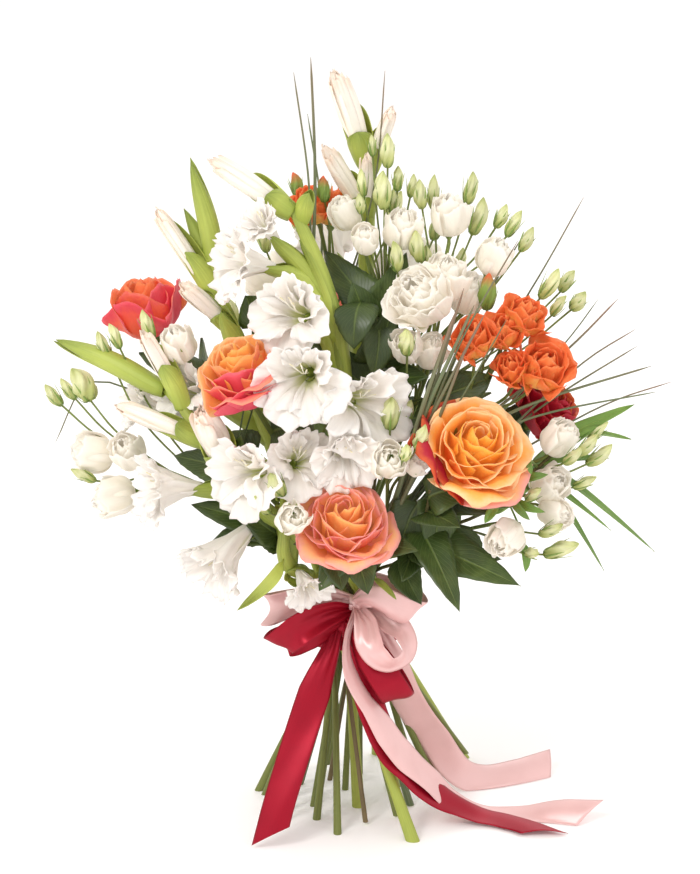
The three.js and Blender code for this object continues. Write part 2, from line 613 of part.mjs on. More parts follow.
// Places every stem side by side in the binding. Each is turned the same way round, so it
// passes the middle on one side, and below the binding the stems fan out and never cross.
function packStems(stems) {
  for (const stem of stems) {
    const rise = stem.end.z - TIE_HEIGHT;
    const [leanX, leanY] = [stem.end.x / rise, stem.end.y / rise];
    const share = TURN_HEIGHT / (1 + TIE_SQUEEZE * Math.hypot(leanX, leanY));
    stem.slot = new THREE.Vector2(-leanY * share, leanX * share);
    if (FEET[stem.name]) {
      const [x, y] = FEET[stem.name];
      const turns = TIE_HEIGHT / TURN_HEIGHT;
      stem.slot.set(x + turns * y, y - turns * x).divideScalar(1 + turns * turns);
    }
  }
  for (let round = 0; round < 400; round++) {
    for (const stem of stems) {
      if (!FEET[stem.name]) stem.slot.multiplyScalar(0.99);
    }
    for (const a of stems) {
      for (const b of stems) {
        if (a === b) continue;
        const away = a.slot.clone().sub(b.slot);
        const tilt = Math.hypot(a.slot.length(), TURN_HEIGHT) / TURN_HEIGHT;
        const short = (a.radius + b.radius + SEAT) * tilt - away.length();
        if (short <= 0) continue;
        const pinned = [FEET[a.name], FEET[b.name]];
        const share = pinned[0] && !pinned[1] ? 0 : (pinned[1] && !pinned[0] ? 1 : 0.5);
        away.setLength(short);
        a.slot.addScaledVector(away, share);
        b.slot.addScaledVector(away, share - 1);
      }
    }
  }
  for (const stem of stems) {
    stem.lean = vec([stem.slot.y / TURN_HEIGHT, -stem.slot.x / TURN_HEIGHT, 1]);
    stem.waist = vec([stem.slot.x, stem.slot.y, TIE_HEIGHT]);
    const long = stem.level ? TIE_HEIGHT : Math.min(TIE_HEIGHT, SHORT_STEM / stem.lean.length());
    stem.foot = plus(stem.waist, stem.lean, -long);
  }
}

// The line of a stem from its foot through the binding to its end
function stemLine(stem) {
  const { foot, waist, lean, end, head, via } = stem;
  const top = plus(waist, lean, BAND_TOP);
  if (via) return [foot, ...softened([top, plus(top, lean, 0.3 * (via[0].z - top.z)), ...via], 1)];
  const far = end.distanceTo(top);
  const first = plus(top, lean, 0.4 * (end.z - top.z));
  const arrive = unit(plus(unit(minus(end, top)), head.way, 0.9));
  const second = plus(end, arrive, -0.3 * far);
  const line = [foot];
  const steps = 5;
  for (let i = 0; i <= steps; i++) line.push(bezier(top, first, second, end, i / steps));
  return line;
}

// A branch leaves its stem where the stem still points well towards the branch's end
function branchFrom(strand, end, way) {
  let joint = 2;
  const ways = tangents(strand.points);
  for (let i = 2; i < strand.points.length - 1; i++) {
    const to = minus(end, strand.points[i]);
    const ahead = to.dot(ways[i]);
    const beside = plus(to, ways[i], -ahead).length();
    if (ahead > 1.2 * beside + 6) joint = i;
  }
  const root = strand.points[joint];
  const far = end.distanceTo(root);
  const arrive = way || unit(plus(minus(end, root), UP, 0.5 * far));
  const leave = unit(plus(ways[joint], minus(end, root), 1 / far));
  const first = plus(root, leave, 0.35 * far);
  const second = plus(end, arrive, -0.35 * far);
  const steps = far > 60 ? 3 : 2;
  const points = [];
  for (let i = 0; i <= steps; i++) points.push(bezier(root, first, second, end, i / steps));
  return { points, joint, arrive };
}

// Bends the strands of different nodes clear of each other and of the blooms
function bendClear(rounds) {
  const nearest = (p, q, r, s) => {
    const u = minus(q, p);
    const w = minus(s, r);
    const between = minus(p, r);
    const [a, b, c] = [u.dot(u), u.dot(w), w.dot(w)];
    const [d, e] = [u.dot(between), w.dot(between)];
    const clamp = (x) => Math.min(1, Math.max(0, x));
    let t = clamp((b * e - c * d) / Math.max(1e-9, a * c - b * b));
    const k = clamp((b * t + e) / Math.max(1e-9, c));
    t = clamp((b * k - d) / Math.max(1e-9, a));
    return [t, k];
  };
  for (let round = 0; round < rounds; round++) {
    const push = strands.map((one) => one.points.map(() => vec([0, 0, 0])));
    for (let m = 0; m < strands.length; m++) {
      const one = strands[m];
      for (const ball of balls) {
        if (ball.owner === one.owner) continue;
        for (let i = 0; i < one.points.length - 1; i++) {
          const [p, q] = [one.points[i], one.points[i + 1]];
          const span = minus(q, p);
          const t = Math.min(1, Math.max(0, minus(ball.at, p).dot(span) / span.dot(span)));
          const away = minus(mix(p, q, t), ball.at);
          const short = ball.radius + one.radius + CLEARANCE - away.length();
          if (short <= 0) continue;
          away.setLength(short * 0.5);
          push[m][i].addScaledVector(away, 1 - t);
          push[m][i + 1].addScaledVector(away, t);
        }
      }
      for (let n = m + 1; n < strands.length; n++) {
        const two = strands[n];
        if (one.owner === two.owner) continue;
        const need = one.radius + two.radius + 3 * CLEARANCE;
        for (let i = 0; i < one.points.length - 1; i++) {
          const [p, q] = [one.points[i], one.points[i + 1]];
          const reach = p.distanceTo(q) + need;
          for (let j = 0; j < two.points.length - 1; j++) {
            const [r, s] = [two.points[j], two.points[j + 1]];
            if (p.distanceTo(r) > reach + r.distanceTo(s)) continue;
            const [t, k] = nearest(p, q, r, s);
            const away = minus(mix(p, q, t), mix(r, s, k));
            const short = need - away.length();
            if (short <= 0) continue;
            away.setLength(short * 0.5);
            push[m][i].addScaledVector(away, 1 - t);
            push[m][i + 1].addScaledVector(away, t);
            push[n][j].addScaledVector(away, k - 1);
            push[n][j + 1].addScaledVector(away, -k);
          }
        }
      }
    }
    strands.forEach((one, m) => {
      const shift = one.points.map((p, i) => plus(minus(p, one.start[i]), push[m][i]));
      one.points.forEach((p, i) => {
        if (i < one.fixed || i === one.points.length - 1) return;
        const even = mix(shift[i - 1], shift[i + 1], 0.5);
        p.copy(plus(one.start[i], mix(shift[i], even, 0.25)));
      });
    });
    for (const one of strands) {
      if (one.parent) one.points[0].copy(one.parent.points[one.joint]);
    }
  }
}

// ---------------------------------------------------------------- the pieces

// Hard shapes are stems, necks, buds and grass. Soft ones are petals and leaves, which are cut
// clear of every neighbour.
const nodes = new Map();

function node(name, colour, rank) {
  if (!nodes.has(name)) nodes.set(name, { name, colour, rank, hard: [], soft: [] });
  return nodes.get(name);
}

// Shapes that wait until the stems and branches have been bent clear
const waiting = [];

const STEM_COLOUR = {
  rose: 'stem', spray_rose: 'stem', gladiolus: 'fresh', lisianthus: 'stem', foliage: 'leaf', grass: 'grass',
};
const BLOOM_RANK = { rose: 50, spray_rose: 45, gladiolus: 40, lisianthus: 35 };
const STEM_RANK = 10;
const BINDING_RANK = 99;

// Where a bloom sits: its root behind its middle, and the swelling that its stem ends in
function headOf(kind, at, faces, width) {
  const { deep, neck } = BLOOMS[kind];
  const way = unit(vec(faces));
  const height = deep * width;
  const root = plus(vec(at), way, -0.55 * height);
  const sheathed = kind === 'gladiolus';
  const swell = sheathed ? neck * width / 60 : neck;
  const end = plus(root, way, -2.2 * swell);
  const tail = [
    [plus(root, way, -0.8 * swell), swell],
    [plus(root, way, sheathed ? 0.32 * height : 1), sheathed ? 0.6 : 0.8 * swell],
  ];
  return { root, way, height, end, tail };
}

function addBloom(stem, kind, head, width, bloomNode, roll) {
  const frame = bloomFrame(head.root, head.way, roll);
  bloomNode.soft.push(BLOOMS[kind].make(frame, width / 2, head.height));
  balls.push({ at: plus(head.root, head.way, 0.5 * head.height), radius: 0.32 * width, owner: stem.name });
}

// A rod along a strand and on through the rings of its tail, each [point, radius]
function addRod(stem, strand, radiusAt, tail, sides, options) {
  waiting.push(() => {
    const line = [...strand.points, ...tail.map(([point]) => point)];
    const radii = [...strand.points.map((_, i) => radiusAt(i)), ...tail.map(([, radius]) => radius)];
    node(stem.name).hard.push((margin) => rod(line, radii, sides, margin, options));
  });
}

function addBranch(stem, end, way, radius, tail) {
  const { points, joint } = branchFrom(stem.strand, end, way);
  const branch = addStrand(stem.name, points, radius, 1, stem.strand, joint);
  addRod(stem, branch, () => radius, tail, 4);
}

function addBud(stem, [x, y, z, width, length]) {
  const middle = vec([x, y, z]);
  const way = branchFrom(stem.strand, middle, null).arrive;
  const base = plus(middle, way, -0.5 * length);
  balls.push({ at: middle, radius: 0.5 * width, owner: stem.name });
  addBranch(stem, base, way, 0.42 * stem.radius,
    [[plus(base, way, 0.35 * length), width / 2], [plus(base, way, length), 0]]);
}

function nearestOn(strand, place) {
  let best = strand.points[2];
  for (let i = 2; i < strand.points.length - 1; i++) {
    const segment = new THREE.Line3(strand.points[i], strand.points[i + 1]);
    const near = segment.closestPointToPoint(place, true, vec([0, 0, 0]));
    if (near.distanceTo(place) < best.distanceTo(place)) best = near;
  }
  return best;
}

function addLeaf(stem, [rootPlace, tipPlace, width]) {
  const [root, tip] = [vec(rootPlace), vec(tipPlace)];
  const rib = addStrand(stem.name, [root, mix(root, tip, 0.5), tip], 0.3 * width, 1);
  waiting.push(() => {
    const stalk = nearestOn(stem.strand, root);
    const aside = minus(rib.points[1], rib.start[1]).multiplyScalar(2);
    node(stem.name).soft.push(leaf(stalk, root, tip, width, aside));
  });
}

// A gladiolus bud in its sheath, from where it sits on the spike to its tip
function addSheath(stem, [rootPlace, tipPlace, width]) {
  const [root, tip] = [vec(rootPlace), vec(tipPlace)];
  addStrand(stem.name, [root, mix(root, tip, 0.5), tip], 0.4 * width, 3);
  waiting.push(() => {
    const start = mix(nearestOn(stem.strand, root), root, 0.3);
    const line = [start, mix(root, tip, 0.14), mix(root, tip, 0.5), tip];
    const radii = [2.2, 0.42 * width, 0.5 * width, 0.1 * width];
    node(stem.name).hard.push((margin) => rod(line, radii, 5, margin, { flat: 0.8 }));
  });
}

function addGrass(stem, [onPlace, tipPlace, width], n) {
  const [on, tip] = [vec(onPlace), vec(tipPlace)];
  const joint = stem.strand.points.length - 2 - (n % 4);
  const way = tangents(stem.strand.points)[joint];
  const root = stem.strand.points[joint];
  const first = plus(root, way, 0.3 * on.distanceTo(root));
  const line = [root, mix(first, on, 0.3), mix(first, on, 0.8), mix(on, tip, 0.25), tip];
  const strand = addStrand(stem.name, line, 0.45 * width, 1, stem.strand, joint);
  addRod(stem, strand, (i) => (width / 2) * (1 - 0.09 * i), [], 3, { flat: 0.6 });
}

const stems = [
  ...ROSES.map((rose) => {
    const head = headOf('rose', rose.at, rose.faces, rose.width);
    return { name: `${rose.name}_stem`, kind: 'rose', level: true, head, rose };
  }),
  ...SPRAYS.map((spray) => {
    const [x, y, z, width, faces] = spray.blooms[0];
    const head = headOf(spray.kind, [x, y, z], faces, width);
    return { name: `${spray.name}_stem`, kind: spray.kind, head, spray };
  }),
  ...SPIKES.map((spike) => ({
    name: `${spike.name}_stem`, kind: 'gladiolus', level: true, via: spike.line.map(vec), spike,
  })),
  ...LEAFY.map((leafy) => ({ name: leafy.name, kind: 'foliage', via: leafy.line.map(vec), leafy })),
  ...GRASSES.map((grass) => ({ name: grass.name, kind: 'grass', via: grass.line.map(vec), grass })),
];
for (const stem of stems) {
  stem.radius = RADIUS[stem.kind];
  stem.end = stem.via ? stem.via[stem.via.length - 1] : stem.head.end;
}
packStems(stems);

for (const stem of stems) {
  node(stem.name, STEM_COLOUR[stem.kind], STEM_RANK);
  stem.strand = addStrand(stem.name, stemLine(stem), stem.radius, 2);
  const count = stem.strand.points.length - 1;
  const taper = stem.kind === 'gladiolus' ? 0.5 : 0.25;
  const radiusAt = (i) => stem.radius * (1 - taper * Math.max(0, i - 1) / count);
  const thick = stem.kind === 'gladiolus' || stem.kind === 'rose';
  const tail = stem.head ? stem.head.tail : [];
  addRod(stem, stem.strand, radiusAt, tail, thick ? 5 : 4, { sole: stem.foot.z });
}

for (const stem of stems) {
  if (stem.rose) {
    const { name, width, colour } = stem.rose;
    addBloom(stem, 'rose', stem.head, width, node(`${name}_bloom`, colour, BLOOM_RANK.rose), 0.3);
    for (const one of ROSE_LEAVES[name]) addLeaf(stem, one);
  }
  if (stem.spray) {
    const { name, kind, colour, blooms, buds } = stem.spray;
    blooms.forEach(([x, y, z, width, faces, group], n) => {
      const head = headOf(kind, [x, y, z], faces, width);
      const own = group === STEM ? node(stem.name)
        : node(`${name}_blooms_${group}`, colour, BLOOM_RANK[kind]);
      addBloom(stem, kind, head, width, own, n);
      if (n > 0) addBranch(stem, head.end, head.way, 0.6 * stem.radius, head.tail);
    });
    for (const one of buds) addBud(stem, one);
  }
  if (stem.spike) {
    stem.spike.florets.forEach(([x, y, z, width, faces, group], n) => {
      const head = headOf('gladiolus', [x, y, z], faces, width);
      const own = group === STEM ? node(stem.name)
        : node(`${stem.spike.name}_florets_${group}`, 'white', BLOOM_RANK.gladiolus);
      addBloom(stem, 'gladiolus', head, width, own, 0.5 + n);
      addBranch(stem, head.end, head.way, 2.4, head.tail);
    });
    for (const one of stem.spike.buds) addSheath(stem, one);
  }
  if (stem.leafy) {
    for (const one of stem.leafy.leaves) addLeaf(stem, one);
  }
  if (stem.grass) stem.grass.blades.forEach((one, n) => addGrass(stem, one, n));
}

bendClear(60);
for (const step of waiting) step();

// ---------------------------------------------------------------- binding and ribbons

const bundle = Math.max(...stems.map((stem) => stem.slot.length()
  + stem.radius * Math.hypot(stem.slot.length(), TURN_HEIGHT) / TURN_HEIGHT));
// The bundle's outside widens away from the binding as a hyperboloid does
const bundleAt = (rise) => bundle * Math.hypot(1, rise / TURN_HEIGHT);
const CORD = 1.2;             // radius of one turn of the binding cord
const CORD_TURNS = 2;
const RING_STEPS = 14;
const BAND_HEIGHT = 22;       // of the turn of ribbon under each bow

function bindingOutline() {
  const inner = bundle - SEAT;
  const outline = [[inner, TIE_HEIGHT - CORD_TURNS * CORD]];
  for (let n = 0; n < CORD_TURNS; n++) {
    const middle = TIE_HEIGHT + (2 * n + 1 - CORD_TURNS) * CORD;
    outline.push([inner + CORD, middle - 0.9 * CORD]);
    outline.push([inner + 2 * CORD, middle]);
    outline.push([inner + CORD, middle + 0.9 * CORD]);
  }
  outline.push([inner, TIE_HEIGHT + CORD_TURNS * CORD]);
  return outline;
}

node('tie_cord', 'cord', BINDING_RANK + 1).hard.push(() => ring(bindingOutline(), RING_STEPS));

for (const [name, bow] of Object.entries(BOWS)) {
  const piece = node(name, bow.colour, BINDING_RANK);
  const knot = vec(bow.knot);
  piece.hard.push((margin) => {
    // side is -1 on the inside of the band and 1 on its outside; share runs up its height
    const point = (side, share) => {
      const rise = bow.rise + (share - 0.5) * BAND_HEIGHT;
      const radius = bundleAt(rise) + 2 * CORD + SEAT + (side > 0 ? RIBBON_THICK : 0);
      return [radius + side * margin, TIE_HEIGHT + rise + (2 * share - 1) * margin];
    };
    const inside = [0, 0.5, 1].map((share) => point(-1, share));
    const outside = [1, 0.5, 0].map((share) => point(1, share));
    return ring([...inside, ...outside], RING_STEPS);
  });
  const knotLine = [plus(knot, vec([-9, 6, 0])), plus(knot, vec([-6, 0, 0])), plus(knot, vec([6, 0, 0])),
    plus(knot, vec([9, 6, 0]))];
  piece.hard.push((margin) => rod(knotLine, [4, 8.5, 8.5, 4], 5, margin));
  for (const loop of bow.loops) {
    const out = minus(vec(loop.far), knot);
    const across = squareTo(unit(out), vec(loop.across));
    const over = across.clone().cross(unit(out));
    const start = 0.18;
    const steps = 7;
    const points = [];
    const widths = [];
    for (let i = 0; i <= steps; i++) {
      const turn = Math.PI * (start + (2 - 2 * start) * (i / steps));
      const away = (1 - Math.cos(turn)) / 2;
      points.push(plus(plus(knot, out, away), over, loop.belly * Math.sin(turn)));
      widths.push(RIBBON_WIDTH * (0.25 + 0.75 * Math.sqrt(away)));
    }
    piece.hard.push((margin) => ribbon(points, points.map(() => across), widths, margin));
  }
  for (const tail of bow.tails) {
    const line = softened(tail.map(vec), 1);
    const ways = tangents(line);
    const across = line.map((p, i) => {
      const outward = unit(vec([p.x, p.y, 0]));
      const hint = plus(UP, outward, Math.min(1, p.z / 40) ** 2 * 3);
      return ways[i].clone().cross(hint);
    });
    const widths = line.map((_, i) => RIBBON_WIDTH * Math.min(1, 0.3 + 0.3 * i));
    piece.hard.push((margin) => ribbon(line, across, widths, margin));
  }
}

// ---------------------------------------------------------------- cutting clear and assembly

const boxOf = (made) => {
  const box = made.boundingBox();
  return new THREE.Box3(vec(Array.from(box.min)), vec(Array.from(box.max)));
};

const list = [...nodes.values()];
for (const one of list) {
  one.whole = union(one.hard.map((make) => make(0)));
  one.fatHard = union(one.hard.map((make) => make(CLEARANCE)));
  one.petals = union(one.soft.map((make) => make(0)));
  one.fatSoft = union(one.soft.map((make) => make(CLEARANCE)));
  one.hardBox = one.fatHard && boxOf(one.fatHard);
  one.softBox = one.fatSoft && boxOf(one.fatSoft);
}

function cutClear(made, cutters) {
  const box = boxOf(made);
  let left = made;
  for (const [cutter, reach] of cutters) {
    if (cutter && reach.intersectsBox(box)) left = left.subtract(cutter);
  }
  return left;
}

for (let n = 0; n < list.length; n++) {
  const one = list[n];
  const others = list.filter((other) => other !== one);
  if (one.whole) {
    const ahead = others.filter((other) => other.rank > one.rank
      || (other.rank === one.rank && list.indexOf(other) < n));
    one.whole = largest(cutClear(one.whole, ahead.map((other) => [other.fatHard, other.hardBox])));
  }
  if (one.petals) {
    const hard = others.map((other) => [other.fatHard, other.hardBox]);
    const soft = others.filter((other) => other.rank > one.rank
      || (other.rank === one.rank && list.indexOf(other) < n))
      .map((other) => [other.fatSoft, other.softBox]);
    const cut = cleaned(cutClear(one.petals, [...hard, ...soft]));
    one.whole = one.whole ? one.whole.add(cut) : cut;
  }
  one.whole = largest(cleaned(one.whole));
}

// Takes a small box off a solid, round the given one
function notched(made, box) {
  const { min, max } = box.clone().expandByScalar(CLEARANCE);
  const block = new THREE.BoxGeometry(max.x - min.x, max.y - min.y, max.z - min.z);
  block.translate((max.x + min.x) / 2, (max.y + min.y) / 2, (max.z + min.z) / 2);
  return largest(made.subtract(solidOf(block)));
}

// Whatever still meets after all the cutting is a sliver: a small notch is cut round it
function cutSlivers() {
  for (let n = 0; n < list.length; n++) {
    for (let m = n + 1; m < list.length; m++) {
      if (!boxOf(list[n].whole).intersectsBox(boxOf(list[m].whole))) continue;
      const shared = list[n].whole.intersect(list[m].whole);
      if (shared.volume() < 1e-4) continue;
      const lower = list[n].rank < list[m].rank ? list[n] : list[m];
      for (const sliver of shared.decompose()) lower.whole = notched(lower.whole, boxOf(sliver));
    }
  }
}

function geometryOf(made) {
  const { vertProperties, triVerts } = made.getMesh();
  const geometry = new THREE.BufferGeometry();
  geometry.setAttribute('position', new THREE.BufferAttribute(Float32Array.from(vertProperties), 3));
  geometry.setIndex(Array.from(triVerts));
  return geometry;
}

// A box round each edge of a surface that doesn't lie between exactly two faces, once corners
// closer than near are taken as one
function looseEdges(geometry, near) {
  const { index, attributes: { position } } = mergeVertices(geometry, near);
  const edges = new Map();
  for (let i = 0; i < index.count; i += 3) {
    const face = [index.getX(i), index.getX(i + 1), index.getX(i + 2)];
    if (new Set(face).size < 3) continue;
    for (let k = 0; k < 3; k++) {
      const [a, b] = [face[k], face[(k + 1) % 3]];
      const key = Math.min(a, b) * position.count + Math.max(a, b);
      const edge = edges.get(key) || { ends: [a, b], faces: 0 };
      edge.faces += 1;
      edges.set(key, edge);
    }
  }
  const corner = (n) => vec([position.getX(n), position.getY(n), position.getZ(n)]);
  return [...edges.values()].filter(({ faces }) => faces !== 2)
    .map(({ ends }) => new THREE.Box3().setFromPoints(ends.map(corner)));
}

// Corners that nearly meet are joined, crumbs that this frees are dropped, and a notch is cut
// where a surface touches itself along an edge
function settled(made) {
  let whole = largest(solidOf(geometryOf(made)));
  for (let round = 0; round < 6; round++) {
    const loose = [2e-4, 1e-3, 5e-3, 1e-2].flatMap((near) => looseEdges(geometryOf(whole), near));
    if (loose.length === 0) break;
    for (const box of loose) whole = notched(whole, box);
    whole = largest(solidOf(geometryOf(whole)));
  }
  return whole;
}

cutSlivers();
for (const one of list) one.whole = settled(one.whole);

const group = new THREE.Group();
for (const one of list) {
  const geometry = geometryOf(one.whole);
  const material = new THREE.MeshStandardMaterial({ color: COLOUR[one.colour], roughness: 0.6 });
  const mesh = new THREE.Mesh(geometry, material);
  mesh.name = one.name;
  mesh.position.set(MIDDLE_SHIFT[0], MIDDLE_SHIFT[1], 0);
  group.add(mesh);
}

export default group;
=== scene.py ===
# %% [markdown]
# # A hand-tied bouquet of mixed flowers
# The real object is about sixty separate things held by a cord: cut stems that cross in a
# spiral and fan out below the binding, with blooms, buds, leaves and grass above it, and two
# satin ribbons tied in bows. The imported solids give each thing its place. Here every one of
# them gets its real surface: petals as thin closed sheets, stems as tubes, ribbons as cloth.
# All tables are in millimetres, and everything becomes metres when a mesh is made.

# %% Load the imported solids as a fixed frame
import json
import math
from collections import namedtuple

import bpy
import numpy as np
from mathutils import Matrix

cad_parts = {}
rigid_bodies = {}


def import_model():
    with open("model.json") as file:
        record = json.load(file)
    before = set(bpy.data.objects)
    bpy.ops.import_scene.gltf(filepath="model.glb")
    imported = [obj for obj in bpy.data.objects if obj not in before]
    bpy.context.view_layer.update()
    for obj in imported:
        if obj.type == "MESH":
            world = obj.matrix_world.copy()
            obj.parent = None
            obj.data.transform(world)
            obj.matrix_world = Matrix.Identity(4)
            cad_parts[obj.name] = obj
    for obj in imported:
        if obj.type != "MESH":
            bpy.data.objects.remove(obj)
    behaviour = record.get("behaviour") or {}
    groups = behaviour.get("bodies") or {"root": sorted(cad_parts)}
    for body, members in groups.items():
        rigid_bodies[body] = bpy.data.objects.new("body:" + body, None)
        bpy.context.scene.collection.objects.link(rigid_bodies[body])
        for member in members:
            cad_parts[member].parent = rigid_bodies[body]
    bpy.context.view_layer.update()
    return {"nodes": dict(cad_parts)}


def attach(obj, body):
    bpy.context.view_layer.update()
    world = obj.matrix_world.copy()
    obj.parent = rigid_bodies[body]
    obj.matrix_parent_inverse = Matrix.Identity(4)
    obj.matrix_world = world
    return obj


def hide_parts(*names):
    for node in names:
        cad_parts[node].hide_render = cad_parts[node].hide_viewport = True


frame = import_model()
SHIFT = np.array([-8.0, 0.0, 0.0])    # puts the middle of the finished bouquet over the origin
TO_METRES = 0.001

# %% [markdown]
# The camera comes first. It stands a little above the flowers, 2.2 m away, and looks 15
# degrees down with a long lens, so the upright stems stay nearly parallel, as in a product
# photograph.

# %% Camera
LOOK_DOWN = math.radians(15)
CAMERA_DISTANCE = 2.2
LENS = 113.27          # in millimetres, behind a 36 mm sensor
AIM = (-0.008, 0.0, 0.310)
camera_data = bpy.data.cameras.new("camera")
camera_data.lens = LENS
camera_data.sensor_width = 36
camera = bpy.data.objects.new("camera", camera_data)
camera.location = (AIM[0], AIM[1] - CAMERA_DISTANCE * math.cos(LOOK_DOWN),
                   AIM[2] + CAMERA_DISTANCE * math.sin(LOOK_DOWN))
camera.rotation_euler = (math.pi / 2 - LOOK_DOWN, 0, 0)
bpy.context.scene.collection.objects.link(camera)
bpy.context.scene.camera = camera
print("camera at", [round(v, 3) for v in camera.location])

# %% [markdown]
# Node graphs are easier to read as sums than as lists of links. A `Socket` wraps one output,
# and the usual operators add Math nodes to the graph. A `Finish` owns one material and has a
# single method for every other kind of node. Colours go through Mix nodes, since a Math node
# would turn them grey.

# %% Sockets that can be used in sums
def linear(colour):
    """A colour written as 0xrrggbb, in the linear values that Blender works in"""
    parts = [(colour >> shift & 255) / 255 for shift in (16, 8, 0)]
    parts = [p / 12.92 if p <= 0.04045 else ((p + 0.055) / 1.055) ** 2.4 for p in parts]
    return (*parts, 1.0)


class Socket:
    """A number, colour or vector in a finish's graph"""
    def __init__(self, finish, output):
        self.finish, self.output = finish, output

    def with_(self, operation, *others):
        settings = {"operation": operation}
        return self.finish.node("Math", settings, dict(enumerate((self, *others))))

    def __add__(self, other):
        return self.with_("ADD", other)

    def __sub__(self, other):
        return self.with_("SUBTRACT", other)

    def __mul__(self, other):
        return self.with_("MULTIPLY", other)

    def __rsub__(self, other):
        return self.finish.node("Math", {"operation": "SUBTRACT"}, {0: other, 1: self})

    __radd__, __rmul__ = __add__, __mul__

    def between(self, low, high):
        """0 below low, 1 above high, and a soft step from one to the other"""
        settings = {"interpolation_type": "SMOOTHSTEP"}
        return self.finish.node("MapRange", settings, {0: self, 1: low, 2: high})


# %% One material with its graph
class Finish:
    def __init__(self, name, **constants):
        self.material = bpy.data.materials.new(name)
        self.material.use_nodes = True
        self.tree = self.material.node_tree
        self.shader = self.tree.nodes["Principled BSDF"]
        for title, value in constants.items():
            self.shader.inputs[title.replace("_", " ")].default_value = value

    def node(self, kind, settings=None, inputs=None, out=0):
        made = self.tree.nodes.new("ShaderNode" + kind)
        for title, value in (settings or {}).items():
            if title == "stops":
                ramp = made.color_ramp
                while len(ramp.elements) < len(value):
                    ramp.elements.new(0.5)
                for element, (place, colour) in zip(ramp.elements, value):
                    element.position, element.color = place, linear(colour)
            else:
                setattr(made, title, value)
        for title, value in (inputs or {}).items():
            if isinstance(value, Socket):
                self.tree.links.new(value.output, made.inputs[title])
            else:
                made.inputs[title].default_value = value
        return Socket(self, made.outputs[out])

    def blend(self, mask, low, high):
        low, high = (linear(c) if isinstance(c, int) else c for c in (low, high))
        return self.node("Mix", {"data_type": "RGBA"}, {0: mask, 6: low, 7: high}, 2)

    def split(self, attribute):
        """The three numbers that a mesh keeps at each corner under that name"""
        vector = self.node("Attribute", {"attribute_name": attribute}, out=1)
        parts = self.node("SeparateXYZ", {}, {0: vector}).output.node
        return [Socket(self, output) for output in parts.outputs]

    def where(self, stretch=(1, 1, 1)):
        """Places on the object in metres, each axis stretched"""
        places = self.node("TexCoord", out=3)
        return self.node("VectorMath", {"operation": "MULTIPLY"}, {0: places, 1: stretch})

    def noise(self, places, scale, detail=2.0, roughness=0.5):
        inputs = {"Vector": places, "Scale": scale, "Detail": detail, "Roughness": roughness}
        return self.node("TexNoise", {}, inputs)

    def join(self, x, y, z):
        return self.node("CombineXYZ", {}, {0: x, 1: y, 2: z})

    def done(self, colour, roughness=None, height=None, depth=0.0, strength=1.0, glows=False):
        """Links what changes over the surface. A finish that glows sheds its own colour."""
        links = {"Base Color": colour, "Roughness": roughness}
        if glows:
            links["Emission Color"] = colour
        if height is not None:
            inputs = {"Height": height, "Distance": depth, "Strength": strength}
            links["Normal"] = self.node("Bump", {}, inputs)
        for title, socket in links.items():
            if socket is not None:
                self.tree.links.new(socket.output, self.shader.inputs[title])
        return self.material


# %% [markdown]
# A product photograph like this has a pale sweep under and behind the object, so no horizon
# shows. One big plane fills the frame from this camera angle. It is lit almost to white, so
# only the soft shadows round the stems stay visible.

# %% Pale floor
FLOOR_SIZE = 60.0      # in metres


def pale_floor():
    finish = Finish("pale floor", Roughness=0.75, Emission_Strength=0.06)
    colour = finish.blend(finish.noise(finish.where(), 6.0, 3.0), 0xfdfbfa, 0xfbf8f7)
    half = FLOOR_SIZE / 2
    mesh = bpy.data.meshes.new("floor")
    mesh.from_pydata([(-half, -half, 0), (half, -half, 0), (half, half, 0), (-half, half, 0)],
                     [], [(0, 1, 2, 3)])
    mesh.materials.append(finish.done(colour))
    floor = bpy.data.objects.new("floor", mesh)
    bpy.context.scene.collection.objects.link(floor)


pale_floor()

# %% [markdown]
# Soft light needs big sources. A large panel high at the left front models the petals, a
# weaker one at the right opens the shadows, and one behind gives the rims a light edge. The
# world adds an even white all round, as the walls of a light tent do.

# %% Studio light
def panel(name, place, aim, width, power, tint=(1, 1, 1)):
    data = bpy.data.lights.new(name, "AREA")
    data.shape, data.size, data.energy, data.color = "SQUARE", width, power, tint
    light = bpy.data.objects.new(name, data)
    light.location = place
    way = np.array(aim, float) - np.array(place, float)
    light.rotation_euler = (math.acos(-way[2] / np.linalg.norm(way)), 0,
                            math.atan2(way[1], way[0]) - math.pi / 2)
    bpy.context.scene.collection.objects.link(light)


MIDDLE = (0, 0, 0.33)
panel("key panel", (-1.5, -2.0, 2.3), MIDDLE, 0.8, 34, (1.0, 0.99, 0.97))
panel("fill panel", (2.2, -1.6, 1.6), MIDDLE, 2.0, 6)
panel("rim panel", (0.6, 2.2, 2.0), MIDDLE, 1.6, 10)
world = bpy.data.worlds.new("light tent")
world.use_nodes = True
world.node_tree.nodes["Background"].inputs[0].default_value = (1.0, 0.982, 0.97, 1)
world.node_tree.nodes["Background"].inputs[1].default_value = 1.03
bpy.context.scene.world = world
bpy.context.scene.view_settings.view_transform = "Standard"
bpy.context.scene.view_settings.look = "None"

# %% [markdown]
# The tables say what grows where. They repeat the ones that the solids were made from, so
# each bloom sits in its solid's place. Rows are written like this:
# * bloom: x, y and z of its middle, width, the way it faces, and the piece it belongs to
# * bud on a branch: x, y and z of its middle, width, length
# * leaf and gladiolus bud: root, tip, width, and how much of the bud its sheath covers
# * blade of grass: a point on its way, tip, width

